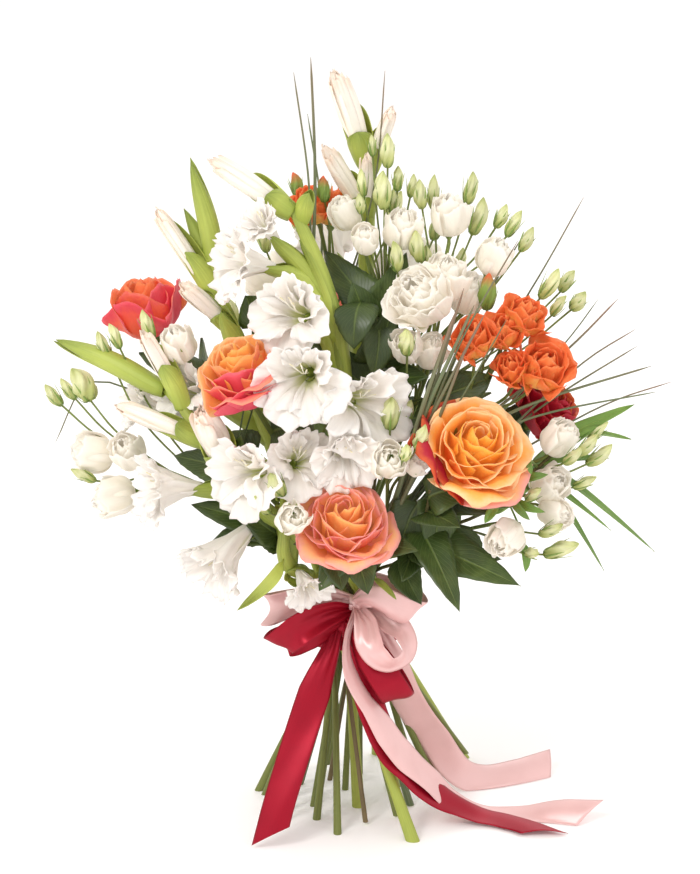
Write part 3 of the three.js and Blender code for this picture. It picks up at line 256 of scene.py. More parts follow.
# %% Roses, in millimetres
STEM = "stem"          # marks a bloom that is one piece with its stem
ROSES = {
    "rose_1": {"blooms": [
        [97, -105, 328, 84, [0.3, -0.75, 0.55], "bloom"],
    ], "leaves": [
        [[60, -62, 280], [110, -104, 276], 28], [[60, -40, 280], [120, -30, 270], 28],
    ]},
    "rose_2": {"blooms": [
        [-4, -108, 268, 84, [0.02, -0.8, 0.6], "bloom"],
    ], "leaves": [
        [[4, -60, 240], [52, -112, 250], 26], [[-4, -56, 236], [-44, -96, 250], 26],
    ]},
    "rose_3": {"blooms": [
        [-81, -92, 377, 68, [-0.25, -0.6, 0.7], "bloom"],
    ], "leaves": [
        [[-60, -56, 330], [-30, -70, 340], 26],
    ]},
    "rose_4": {"blooms": [
        [-163, 10, 413, 72, [-0.25, -0.1, 0.95], "bloom"],
    ], "leaves": [
        [[-110, 0, 350], [-170, 30, 372], 28], [[-100, 0, 340], [-120, 50, 380], 28],
    ]},
    "rose_5": {"blooms": [
        [159, 10, 331, 60, [0.55, -0.35, 0.6], "bloom"],
    ], "leaves": [
        [[110, -6, 300], [150, 40, 330], 28],
    ]},
    "rose_6": {"blooms": [
        [4, 112, 392, 80, [0.1, 0.7, 0.7], "bloom"],
    ], "leaves": [
        [[0, 80, 350], [-50, 120, 370], 28], [[0, 80, 350], [56, 118, 372], 28],
    ]},
}

# %% Sprays, which carry blooms and buds on branches of one stem
SPRAY_ROSES = {
    "spray_rose_right": {"blooms": [
        [118, -50, 407, 32, [0.05, -0.5, 0.85], "blooms_upper"],
        [94, -62, 404, 38, [-0.1, -0.55, 0.8], "blooms_upper"],
        [134, -42, 418, 35, [0.3, -0.4, 0.85], "blooms_upper"],
        [149, -58, 381, 46, [0.2, -0.65, 0.7], "blooms_lower"],
        [124, -64, 381, 30, [-0.2, -0.6, 0.7], "blooms_lower"],
    ], "buds": [
        [107, -35, 433, 15, 22],
    ]},
    "spray_rose_top": {"blooms": [
        [-30, -2, 497, 36, [-0.3, -0.4, 0.85], "blooms_front"],
        [-14, 14, 492, 34, [0.1, 0.2, 0.95], "blooms_front"],
    ], "buds": [
        [-20, -16, 512, 11, 18], [-42, 16, 508, 11, 16],
    ]},
}
LISIANTHUS = {
    "lisianthus_a": {"blooms": [
        [40, -28, 485, 36, [0.1, -0.3, 0.95], "blooms_top"],
        [12, -40, 479, 27, [0, -0.6, 0.8], STEM], [-4, -22, 496, 30, [-0.4, -0.3, 0.85], STEM],
    ], "buds": [
        [17, -12, 545, 7, 13], [29, -14, 540, 12, 20], [26, -30, 513, 15, 26], [37, -8, 518, 9, 15],
    ]},
    "lisianthus_b": {"blooms": [
        [77, -20, 494, 36, [0, -0.15, 1], "blooms_top"],
        [113, -22, 461, 33, [0.4, -0.2, 0.9], STEM],
    ], "buds": [
        [55, -22, 509, 11, 20], [66, -6, 506, 10, 24], [93, -2, 509, 11, 20],
        [99, -10, 489, 13, 26], [53, -36, 471, 13, 25], [35, -48, 464, 11, 20],
        [118, 2, 488, 10, 18], [127, -6, 482, 10, 18], [137, -14, 472, 10, 18],
        [155, -10, 435, 12, 22], [171, 4, 435, 11, 17], [179, -4, 421, 12, 15],
    ]},
    "lisianthus_c": {"blooms": [
        [54, -62, 438, 50, [-0.4, -0.6, 0.7], "blooms_upper"],
        [74, -38, 448, 40, [0.1, -0.3, 0.95], "blooms_upper"],
        [92, -24, 433, 36, [0.4, -0.2, 0.8], "blooms_upper"],
        [43, -64, 400, 32, [-0.2, -0.7, 0.6], "blooms_lower"],
        [62, -52, 393, 32, [0.2, -0.5, 0.8], "blooms_lower"],
    ], "buds": [
        [43, -88, 407, 13, 22],
    ]},
    "lisianthus_d": {"blooms": [
        [30, -112, 322, 36, [0.05, -0.85, 0.5], "blooms_front"],
        [52, -98, 316, 24, [0.5, -0.6, 0.5], STEM],
        [-44, -128, 281, 32, [0.1, -0.9, 0.4], "blooms_left"],
    ], "buds": [
        [31, -100, 354, 15, 24], [53, -116, 340, 11, 20], [-55, -116, 303, 13, 22],
        [-66, -108, 284, 10, 17],
    ]},
    "lisianthus_e": {"blooms": [
        [164, -50, 323, 34, [0.5, -0.3, 0.8], "blooms_upper"],
        [156, -58, 287, 35, [0.5, -0.6, 0.5], "blooms_lower"],
        [160, -70, 268, 30, [0.6, -0.6, -0.1], "blooms_lower"],
    ], "buds": [
        [184, -54, 317, 10, 19], [194, -46, 307, 11, 22], [184, -42, 284, 9, 18],
        [141, -86, 286, 9, 18],
    ]},
    "lisianthus_f": {"blooms": [
        [120, -104, 257, 34, [-0.45, -0.75, -0.25], "blooms_front"],
    ], "buds": [
        [154, -88, 259, 10, 20], [162, -80, 240, 13, 26],
    ]},
    "lisianthus_g": {"blooms": [
        [-206, -8, 299, 38, [-0.9, -0.2, 0.15], "blooms_upper"],
        [-176, -28, 306, 34, [-0.3, -0.6, 0.7], STEM],
        [-188, -22, 266, 38, [-0.9, -0.2, -0.15], "blooms_lower"],
        [-134, -40, 396, 34, [-0.3, -0.4, 0.85], "blooms_top"],
    ], "buds": [
        [-213, -2, 352, 20, 26], [-235, 0, 343, 10, 17], [-210, -20, 283, 9, 17],
        [-157, -32, 408, 10, 20], [-192, -26, 390, 10, 18],
    ]},
    "lisianthus_h": {"blooms": [
        [-52, 88, 432, 38, [-0.4, 0.6, 0.75], "blooms_back"],
        [-71, 74, 422, 36, [-0.7, 0.4, 0.6], "blooms_back"],
        [58, 82, 438, 38, [0.4, 0.6, 0.75], STEM],
    ], "buds": [
        [-40, 70, 474, 13, 24], [-70, 62, 458, 11, 20], [-14, 84, 462, 12, 22],
        [36, 70, 478, 13, 24], [70, 60, 468, 11, 20], [88, 66, 440, 10, 18], [-96, 66, 396, 11, 20],
    ]},
}

# %% Gladiolus: the line of the spike, open florets, and buds with their sheathed share
GLADIOLUS = {
    "gladiolus_1": {"line": [
        [-5, -40, 300], [-4, -48, 380], [-19, -50, 448], [-49, -45, 510],
    ], "blooms": [
        [-64, -64, 492, 36, [-0.5, -0.5, 0.7], "florets_upper"],
        [-78, -66, 466, 52, [-0.85, -0.4, 0.3], "florets_upper"],
        [-40, -84, 430, 56, [-0.4, -0.85, 0.35], STEM],
        [-34, -106, 387, 64, [-0.15, -0.95, 0.15], STEM],
        [6, -94, 365, 60, [0.45, -0.85, 0.1], "florets_lower"],
        [-5, -96, 328, 56, [0.1, -0.9, -0.2], STEM],
    ], "buds": [
        [[-44, -46, 500], [-106, -40, 540], 19, 0.45], [[-38, -44, 492], [-30, -60, 520], 12, 1],
    ]},
    "gladiolus_2": {"line": [
        [-66, -70, 268], [-108, -60, 322], [-144, -45, 360],
    ], "blooms": [
        [-138, -78, 291, 58, [-0.9, -0.35, 0.15], "florets_front"],
    ], "buds": [
        [[-144, -45, 360], [-234, -10, 392], 15, 1], [[-128, -52, 348], [-160, -50, 408], 15, 0.7],
        [[-112, -60, 322], [-180, -62, 352], 16, 0.5],
        [[-96, -70, 304], [-114, -90, 356], 26, 0.45],
    ]},
    "gladiolus_3": {"line": [
        [12, 14, 380], [13, 10, 470], [14, 6, 535],
    ], "blooms": [
        [-16, 62, 452, 52, [-0.35, 0.8, 0.45], "florets_back"],
        [30, 56, 420, 56, [0.4, 0.85, 0.3], STEM],
    ], "buds": [
        [[14, 8, 528], [-12, -5, 604], 20, 0.5], [[14, 8, 520], [33, 0, 574], 14, 0.55],
        [[12, 10, 490], [-20, -2, 544], 17, 0.4], [[13, 10, 484], [14, -4, 540], 14, 0.5],
    ]},
    "gladiolus_4": {"line": [
        [-26, -34, 200], [-52, -62, 226], [-52, -70, 270], [-50, -74, 306],
    ], "blooms": [
        [-96, -82, 240, 66, [-0.6, -0.55, -0.45], "florets_left"],
        [-74, -98, 310, 54, [-0.5, -0.8, 0.2], "florets_middle"],
        [-40, -90, 316, 48, [0.2, -0.85, 0.4], STEM],
    ], "buds": [
        [[-40, -52, 212], [-42, -88, 206], 22, 0.3],
    ]},
    "gladiolus_5": {"line": [
        [-70, -16, 330], [-88, -20, 390], [-102, -18, 430],
    ], "blooms": [
        [-124, -34, 358, 46, [-0.5, -0.7, 0.4], "florets_front"],
        [-158, -14, 340, 44, [-0.8, -0.3, 0.4], STEM],
    ], "buds": [
        [[-102, -18, 430], [-124, -12, 537], 14, 1], [[-98, -16, 424], [-130, -4, 496], 13, 1],
        [[-96, -20, 414], [-151, -22, 500], 15, 0.72], [[-92, -22, 404], [-130, -42, 444], 16, 0.5],
        [[-84, -20, 372], [-100, -40, 424], 15, 1],
    ]},
}

# %% Foliage and grass: where the stem ends, and what grows on it
FOLIAGE = {
    "foliage_right": {"line": [
        [96, -30, 250], [150, -36, 300], [178, -30, 326],
    ], "leaves": [
        [[166, -32, 318], [224, -28, 344], 11], [[160, -32, 308], [196, -36, 330], 10],
        [[172, -30, 322], [222, -30, 316], 9], [[150, -36, 300], [205, -28, 300], 9],
        [[128, -34, 280], [176, -50, 262], 8], [[140, -34, 290], [206, -46, 246], 8],
        [[146, -36, 288], [201, -50, 214], 8], [[150, -36, 290], [242, -38, 226], 9],
        [[110, -30, 262], [150, 10, 270], 12], [[140, -30, 290], [180, 20, 310], 12],
    ]},
    "foliage_front": {"line": [
        [40, -44, 220], [58, -76, 262], [62, -84, 290],
    ], "leaves": [
        [[56, -72, 250], [84, -126, 205], 24], [[52, -66, 240], [132, -98, 217], 32],
        [[60, -80, 270], [84, -112, 268], 24], [[60, -82, 280], [104, -76, 292], 24],
        [[46, -54, 232], [96, -50, 250], 26], [[50, -62, 238], [40, -104, 222], 22],
    ]},
    "foliage_left": {"line": [
        [-40, -44, 230], [-72, -60, 262], [-92, -56, 300],
    ], "leaves": [
        [[-64, -56, 254], [-124, -62, 272], 24], [[-52, -50, 242], [-92, -84, 282], 22],
        [[-88, -56, 290], [-84, -84, 334], 24], [[-90, -56, 298], [-118, -30, 330], 24],
        [[-92, -56, 298], [-140, -20, 300], 24], [[-60, -54, 250], [-100, -10, 250], 26],
    ]},
    "foliage_top": {"line": [
        [24, -20, 300], [20, -34, 380], [14, -34, 430],
    ], "leaves": [
        [[14, -34, 404], [2, -48, 446], 30], [[20, -36, 378], [33, -54, 430], 26],
        [[22, -30, 360], [60, -66, 376], 26], [[14, -34, 420], [44, -10, 462], 24],
        [[14, -34, 426], [-20, -2, 462], 24], [[22, -30, 350], [-50, -30, 408], 26],
    ]},
    "foliage_back": {"line": [
        [-6, 46, 250], [-10, 84, 310], [-16, 96, 350],
    ], "leaves": [
        [[-8, 66, 280], [-72, 96, 290], 30], [[-8, 70, 286], [60, 104, 284], 30],
        [[-12, 88, 322], [-80, 110, 350], 30], [[-12, 88, 326], [62, 112, 340], 30],
        [[-6, 56, 266], [-30, 116, 248], 28], [[-6, 60, 270], [30, 118, 250], 28],
        [[-16, 96, 346], [-60, 92, 396], 28], [[-16, 96, 350], [44, 84, 396], 28],
        [[-8, 64, 276], [-118, 60, 320], 28], [[-8, 64, 276], [116, 66, 330], 28],
    ]},
}
# A blade's first point is one on its way
GRASSES = {
    "grass_left": {"line": [
        [-26, -12, 230], [-30, -12, 270],
    ], "blades": [
        [[-26, -24, 506], [-30, -22, 616], 4.4], [[-28, -27, 490], [-43, -26, 605], 3],
        [[19, -2, 500], [27, 0, 603], 2.6], [[-202, 15, 368], [-238, 20, 300], 2.6],
        [[-20, 40, 470], [-34, 66, 560], 3], [[10, 56, 450], [26, 92, 540], 3],
    ]},
    "grass_right": {"line": [
        [20, -36, 220], [36, -48, 262],
    ], "blades": [
        [[57, -100, 352], [86, -88, 450], 4], [[80, -90, 403], [128, -60, 481], 2.8],
        [[88, -96, 368], [119, -84, 425], 2.6], [[142, 2, 425], [183, 5, 503], 2.6],
        [[170, -10, 380], [211, -5, 424], 3.6], [[168, 8, 381], [197, 12, 420], 2.6],
        [[175, 2, 366], [227, 10, 396], 3.2], [[150, -14, 340], [226, -15, 388], 3.2],
        [[119, -66, 346], [235, -40, 378], 4], [[192, -28, 341], [254, -18, 360], 3],
        [[90, 40, 380], [140, 70, 460], 3],
    ]},
}

# %% Ribbons
# Where each bow is knotted, and the middle line of each loop and tail. After its place, each
# point says which way the width runs, and a loop's point how wide it is spread. rise is the
# band's height above the middle of the binding. slants says for each tail how far one corner
# of its cut end is ahead of the middle.
BOWS = {
    "ribbon_red": {
        "rise": -13, "knot": [-6, -41, 165], "knot_size": 1.0, "slants": [-11, 14],
        "loops": [[
            [5, -46, 180, 0.2, 0, 1, 0.3], [-15, -60, 181, -0.3, 0, 1, 0.7],
            [-33, -70, 176, -0.6, 0, 0.8, 0.9], [-46, -75, 168, -0.8, 0, 0.6, 1],
            [-57, -70, 157, -0.86, 0, 0.5, 1], [-55, -59, 157, -0.86, 0, 0.5, 1],
            [-43, -54, 158, -0.8, 0, 0.6, 1], [-28, -52, 164, -0.5, 0, 0.8, 0.8],
            [2, -42, 175, 0, 0, 1, 0.3],
        ], [
            [-2, -46, 174, 0.9, 0, 0.4, 0.35], [8, -58, 161, 0.9, 0.1, 0.35, 0.7],
            [19, -66, 144, 0.9, 0.2, 0.3, 1], [31, -71, 126, 0.9, 0.2, 0.3, 1],
            [38, -66, 114, 0.92, 0.2, 0.3, 1], [36, -57, 118, 0.92, 0.2, 0.3, 1],
            [22, -52, 140, 0.9, 0.1, 0.3, 0.9], [9, -48, 160, 0.9, 0, 0.3, 0.7],
            [-2, -44, 173, 0.9, 0, 0.3, 0.35],
        ]], "tails": [[
            [-9, -44, 170, 1, 0.1, 0.1], [-16, -54, 148, 1, 0.1, 0.2], [-25, -62, 126, 1, 0, 0.3],
            [-35, -71, 98, 1, 0, 0.35], [-46, -84, 66, 1, 0, 0.4], [-56, -96, 36, 1, 0, 0.45],
            [-63, -105, 11, 1, 0, 0.5],
        ], [
            [-3, -44, 168, 1, 0, 0.2], [4, -51, 152, 1, 0.2, 0.3], [10, -57, 136, 0.9, 0.4, 0.3],
            [14, -64, 118, 0.8, 0.6, 0.25], [20, -72, 99, 0.8, 0.6, 0.3],
            [32, -71, 70, 0.75, 0.7, 0.2], [45, -68, 54, 0.6, 0.8, 0.1],
            [60, -61, 35, 0.55, 0.8, 0], [81, -50, 17, 0.5, 0.85, 0], [104, -48, 5.5, 0.4, 0.9, 0],
            [122, -53, 3.4, 0.45, 0.9, 0], [140, -65, 3.2, 0.6, 0.8, 0], [156, -79, 3, 0.6, 0.8, 0],
        ]]},
    "ribbon_pink": {
        "rise": 12, "knot": [6, -43, 184], "knot_size": 0.8, "slants": [10, 6],
        "loops": [[
            [6, -46, 187, 0, 0.2, 1, 0.35], [15, -60, 195, 0.2, -0.5, 0.8, 0.7],
            [28, -71, 195, 0.4, -0.6, 0.7, 1], [41, -73, 189, 0.7, -0.4, 0.6, 1],
            [51, -64, 185, 0.77, 0, 0.64, 1], [46, -53, 190, 0.7, 0.2, 0.7, 1],
            [32, -47, 196, 0.4, 0.3, 0.9, 1], [18, -45, 195, 0.2, 0.3, 1, 0.7],
            [5, -44, 187, 0, 0.2, 1, 0.35],
        ], [
            [6, -50, 184, -0.9, 0, 0.2, 0.35], [12, -64, 176, -0.95, 0.3, 0, 0.7],
            [14, -76, 165, -0.9, 0.5, -0.2, 0.9], [20, -84, 154, -0.7, 0.6, -0.7, 0.95],
            [33, -87, 147, 0.1, 0.7, -0.8, 0.95], [45, -82, 154, 0.8, 0.7, -0.4, 0.95],
            [43, -73, 167, 0.8, 0.6, 0.4, 0.9], [27, -60, 179, 0.4, 0.3, 0.9, 0.7],
            [8, -46, 185, 0, 0.2, 1, 0.35],
        ], [
            [2, -41, 186, 0, 0, 1, 0.35], [-20, -47, 189, 0, -0.2, 1, 0.8],
            [-44, -55, 188, 0, -0.3, 1, 1], [-61, -56, 184, 0.1, -0.3, 1, 1],
            [-68, -49, 181, 0.1, -0.2, 1, 1], [-62, -40, 180, 0, -0.2, 1, 1],
            [-43, -37, 182, 0, -0.1, 1, 1], [-20, -37, 184, 0, 0, 1, 0.8],
            [2, -39, 185, 0, 0, 1, 0.35],
        ]], "tails": [[
            [4, -48, 180, 0.3, 1, 0.1], [-2, -63, 164, 0.2, 1, 0], [-2, -72, 148, 0.3, 1, 0.1],
            [4, -78, 130, 0.35, 1, 0.1], [17, -80, 108, 0.6, 0.8, 0.2],
            [37, -73, 74, 0.6, 0.8, 0.1], [50, -64, 56, 0.5, 0.85, 0],
            [65, -55, 38, 0.45, 0.88, -0.1], [83, -42, 15, 0.4, 0.9, 0], [106, -34, 2, 0.2, 1, 0],
            [132, -36, 1.2, 0, 1, 0.1], [164, -44, 6, 0, 0.8, 0.5], [194, -54, 9, 0.1, 0.7, 0.65],
        ], [
            [12, -42, 181, 1, 0, 0.3], [27, -40, 150, 1, -0.1, 0.4], [36, -32, 124, 1, -0.1, 0.5],
            [44, -20, 100, 1, -0.2, 0.5], [56, -6, 74, 1, -0.2, 0.5], [70, 6, 50, 1, -0.1, 0.6],
            [83, 13, 27, 1, 0.3, 0.5], [97, 20, 12, 0.7, 0.8, 0.5], [116, 29, 6, 0.2, 0.9, 0.5],
            [142, 41, 7, -0.3, 0.8, 0.5], [170, 55, 9, -0.3, 0.7, 0.65],
        ]]},
}

# %% Smallest buds, blades and leaves, which have no solid of their own
MORE_BUDS = {
    "lisianthus_a": [
        [10, -26, 518, 8, 17], [48, -4, 512, 8, 14], [8, -34, 504, 8, 14], [33, -10, 501, 8, 15],
    ],
    "lisianthus_b": [[60, -28, 461, 9, 17], [163, -14, 419, 9, 16]],
    "lisianthus_d": [[45, -86, 352, 9, 14], [41, -132, 333, 9, 16]],
    "lisianthus_e": [[172, -66, 312, 9, 19], [194, -34, 322, 9, 17]],
    "lisianthus_f": [[140, -98, 243, 9, 16]],
    "lisianthus_g": [[-224, 8, 346, 9, 16], [-183, -36, 400, 9, 19]],
}
MORE_BLADES = {
    "grass_right": [
        [[50, -104, 346], [80, -94, 434], 6], [[64, -98, 340], [88, -97, 406], 5],
        [[54, -102, 350], [94, -92, 438], 6], [[60, -101, 350], [102, -88, 430], 5],
        [[125, -58, 339], [240, -35, 356], 3],
    ],
}
MORE_LEAVES = {
    "foliage_front": [
        [[50, -58, 284], [38, -74, 236], 26], [[72, -60, 284], [64, -80, 232], 26],
        [[40, -50, 258], [72, -80, 219], 24], [[88, -50, 258], [96, -70, 217], 22],
        [[32, -60, 226], [56, -76, 194], 22], [[64, -40, 222], [120, -52, 224], 22],
        [[84, -30, 300], [100, -60, 262], 24],
    ],
    "foliage_top": [
        [[2, -56, 436], [3, -68, 398], 24], [[28, -48, 420], [18, -60, 374], 24],
        [[72, -30, 346], [112, -30, 368], 24], [[64, -20, 352], [54, -26, 386], 24],
        [[40, -20, 330], [88, -30, 330], 26],
    ],
    "gladiolus_4": [[[-46, -86, 222], [-88, -93, 195], 10], [[16, -84, 226], [36, -96, 205], 5]],
    "foliage_right": [
        [[113, -104, 290], [103, -110, 271], 7], [[113, -104, 290], [138, -104, 272], 7],
        [[115, -100, 283], [150, -100, 277], 7], [[139, -90, 248], [136, -90, 226], 7],
        [[130, -100, 327], [139, -100, 307], 6], [[120, -96, 300], [152, -96, 306], 7],
    ],
    "rose_2": [
        [[-4, -76, 240], [-24, -90, 210], 20], [[6, -76, 236], [14, -92, 208], 20],
        [[-12, -76, 236], [-6, -94, 212], 20],
    ],
    "foliage_left": [
        [[-66, -20, 412], [-82, -20, 430], 18], [[-56, -30, 386], [-70, -30, 416], 18],
        [[-60, -50, 248], [-108, -60, 242], 26], [[-56, -40, 306], [-102, -40, 322], 22],
    ],
}

# %% [markdown]
# The stems are laid out as a florist holds them. Each passes the middle of the binding on the
# same side, all turned the same way round, so they fan out below without crossing. The same
# steps as the solids' are used, because the fine stems have to lie where the solid ones do.

# %% How the stems are held
TIE_HEIGHT = 165       # middle of the binding above the surface
TURN_HEIGHT = 30       # rise in which a stem moves sideways by its distance from the middle
TIE_SQUEEZE = 0.7      # how much the binding straightens the widest stems
BAND_TOP = 25          # the stems run straight up to here above the binding
SHORT_STEM = 172       # length of the thin stems below the binding
PACK_ROUNDS = 400
DRAW_IN = 0.99         # what each packing round leaves of a stem's distance from the middle
BEND_ROUNDS = 60
SEARCH_EVERY = 12      # bending rounds between two searches for strands that come near
SEARCH_REACH = 25      # strands farther apart than this aren't compared until the next search
CLEARANCE = 0.55       # gap from a strand to a bloom. Two strands keep three times as much.
SEAT = 0.3             # gap between two stems at the binding
FEET = {               # stems that show most, and where they stand or end below the binding
    "rose_6": [-10, -74], "gladiolus_3": [7, -18], "gladiolus_5": [50, -88], "rose_4": [76, 6],
    "gladiolus_2": [98, 88], "gladiolus_4": [24, 100], "lisianthus_g": [112, 48],
}
RADIUS = {             # of each kind's stem
    "rose": 2.7, "spray_rose": 2.2, "gladiolus": 4.4, "lisianthus": 2, "foliage": 1.8, "grass": 2.6,
}

# %% Vectors and curves
UP = np.array([0.0, 0.0, 1.0])
ACROSS = np.array([1.0, 0.0, 0.0])


def vec(values):
    return np.array(values, float)


def size(v):
    return float(math.sqrt(v[0] * v[0] + v[1] * v[1] + v[2] * v[2]))


def unit(v):
    return v / max(1e-9, size(v))


def mix(p, q, t):
    return p + (q - p) * t


def bezier(p0, p1, p2, p3, t):
    s = 1 - t
    return s * s * s * p0 + 3 * s * s * t * p1 + 3 * s * t * t * p2 + t * t * t * p3


def softened(points):
    """Cuts the corners of a line once, and keeps its ends"""
    line = [points[0]]
    for n in range(len(points) - 1):
        if n > 0:
            line.append(mix(points[n], points[n + 1], 0.25))
        if n < len(points) - 2:
            line.append(mix(points[n], points[n + 1], 0.75))
    return [*line, points[-1]]


def tangents(points):
    last = len(points) - 1
    return [unit(points[min(last, n + 1)] - points[max(0, n - 1)]) for n in range(last + 1)]


def square_to(direction, hint):
    side = hint - direction * float(hint @ direction)
    if size(side) < 0.05:
        return square_to(direction, direction[[2, 0, 1]])
    return unit(side)


# %% Strands and how they are packed
class Strand:
    """A line that can be bent, apart from its first fixed points and its end. A branch starts
    at its parent's point number joint."""
    def __init__(self, owner, points, radius, fixed, parent=None, joint=0):
        self.owner, self.radius, self.fixed = owner, radius, fixed
        self.points = np.array(points, float)
        self.start = self.points.copy()
        self.parent, self.joint = parent, joint


strands = []
balls = []             # blooms that other stems keep clear of: middle, reach, stem


def add_strand(*facts):
    strands.append(Strand(*facts))
    strands[-1].place = len(strands) - 1
    return strands[-1]


class Stem:
    def __init__(self, plant, kind, table):
        self.plant, self.kind, self.table = plant, kind, table
        self.name = plant if kind in ("foliage", "grass") else plant + "_stem"
        self.radius = RADIUS[kind]
        self.level = kind in ("rose", "gladiolus")    # cut level with the surface
        self.via = [vec(p) for p in table.get("line", [])]
        self.head = None if self.via else head_of(kind, table["blooms"][0])
        self.end = self.via[-1] if self.via else self.head.end


def pack_stems(stems):
    """Each stem's slot is where it crosses the binding's middle plane. The stems that aren't
    pinned are drawn in and pushed apart by turns, until they lie side by side."""
    for stem in stems:
        rise = stem.end[2] - TIE_HEIGHT
        lean_x, lean_y = stem.end[0] / rise, stem.end[1] / rise
        share = TURN_HEIGHT / (1 + TIE_SQUEEZE * math.hypot(lean_x, lean_y))
        stem.slot = [-lean_y * share, lean_x * share]
        stem.pinned = stem.plant in FEET
        if stem.pinned:
            x, y = FEET[stem.plant]
            turns = TIE_HEIGHT / TURN_HEIGHT
            part = 1 + turns * turns
            stem.slot = [(x + turns * y) / part, (y - turns * x) / part]
    for _ in range(PACK_ROUNDS):
        for stem in stems:
            if not stem.pinned:
                stem.slot = [DRAW_IN * stem.slot[0], DRAW_IN * stem.slot[1]]
        for a in stems:
            for b in stems:
                if a is b:
                    continue
                x, y = a.slot[0] - b.slot[0], a.slot[1] - b.slot[1]
                apart = math.hypot(x, y)
                need = a.radius + b.radius + SEAT
                if apart > 3 * need:
                    continue
                tilt = math.hypot(math.hypot(*a.slot), TURN_HEIGHT) / TURN_HEIGHT
                short = need * tilt - apart
                if short <= 0:
                    continue
                share = 0.5 * (1 + b.pinned - a.pinned)
                x, y = x / (apart or 1) * short, y / (apart or 1) * short
                a.slot = [a.slot[0] + share * x, a.slot[1] + share * y]
                b.slot = [b.slot[0] + (share - 1) * x, b.slot[1] + (share - 1) * y]
    for stem in stems:
        stem.lean = vec([stem.slot[1] / TURN_HEIGHT, -stem.slot[0] / TURN_HEIGHT, 1])
        stem.waist = vec([*stem.slot, TIE_HEIGHT])
        long = TIE_HEIGHT if stem.level else min(TIE_HEIGHT, SHORT_STEM / size(stem.lean))
        stem.foot = stem.waist - stem.lean * long


def stem_line(stem):
    """From the foot straight through the binding, then in a curve to the bloom"""
    top = stem.waist + stem.lean * BAND_TOP
    if stem.via:
        rise = 0.3 * (stem.via[0][2] - top[2])
        return [stem.foot, *softened([top, top + stem.lean * rise, *stem.via])]
    first = top + stem.lean * (0.4 * (stem.end[2] - top[2]))
    arrive = unit(unit(stem.end - top) + 0.9 * stem.head.way)
    second = stem.end - arrive * (0.3 * size(stem.end - top))
    steps = 5
    return [stem.foot, *(bezier(top, first, second, stem.end, n / steps) for n in range(steps + 1))]


def branch_from(strand, end, way=None):
    """A branch leaves its stem where the stem still points well towards the branch's end"""
    joint = 2
    ways = tangents(strand.points)
    for n in range(2, len(strand.points) - 1):
        to = end - strand.points[n]
        ahead = float(to @ ways[n])
        beside = size(to - ways[n] * ahead)
        if ahead > 1.2 * beside + 6:
            joint = n
    root = strand.points[joint]
    far = size(end - root)
    arrive = unit(end - root + UP * (0.5 * far)) if way is None else way
    leave = unit(ways[joint] + (end - root) / far)
    first, second = root + leave * (0.35 * far), end - arrive * (0.35 * far)
    steps = 3 if far > 60 else 2
    return [bezier(root, first, second, end, n / steps) for n in range(steps + 1)], joint, arrive


# %% Bend the strands clear of each other
def nearest(p, u, r, w):
    """Shares along two sets of segments, p + t u and r + k w, where they come nearest"""
    between = p - r
    a, b, c = (u * u).sum(1), (u * w).sum(1), (w * w).sum(1)
    d, e = (u * between).sum(1), (w * between).sum(1)
    t = np.clip((b * e - c * d) / np.maximum(1e-9, a * c - b * b), 0, 1)
    k = np.clip((b * t + e) / np.maximum(1e-9, c), 0, 1)
    return np.clip((b * k - d) / np.maximum(1e-9, a), 0, 1), k


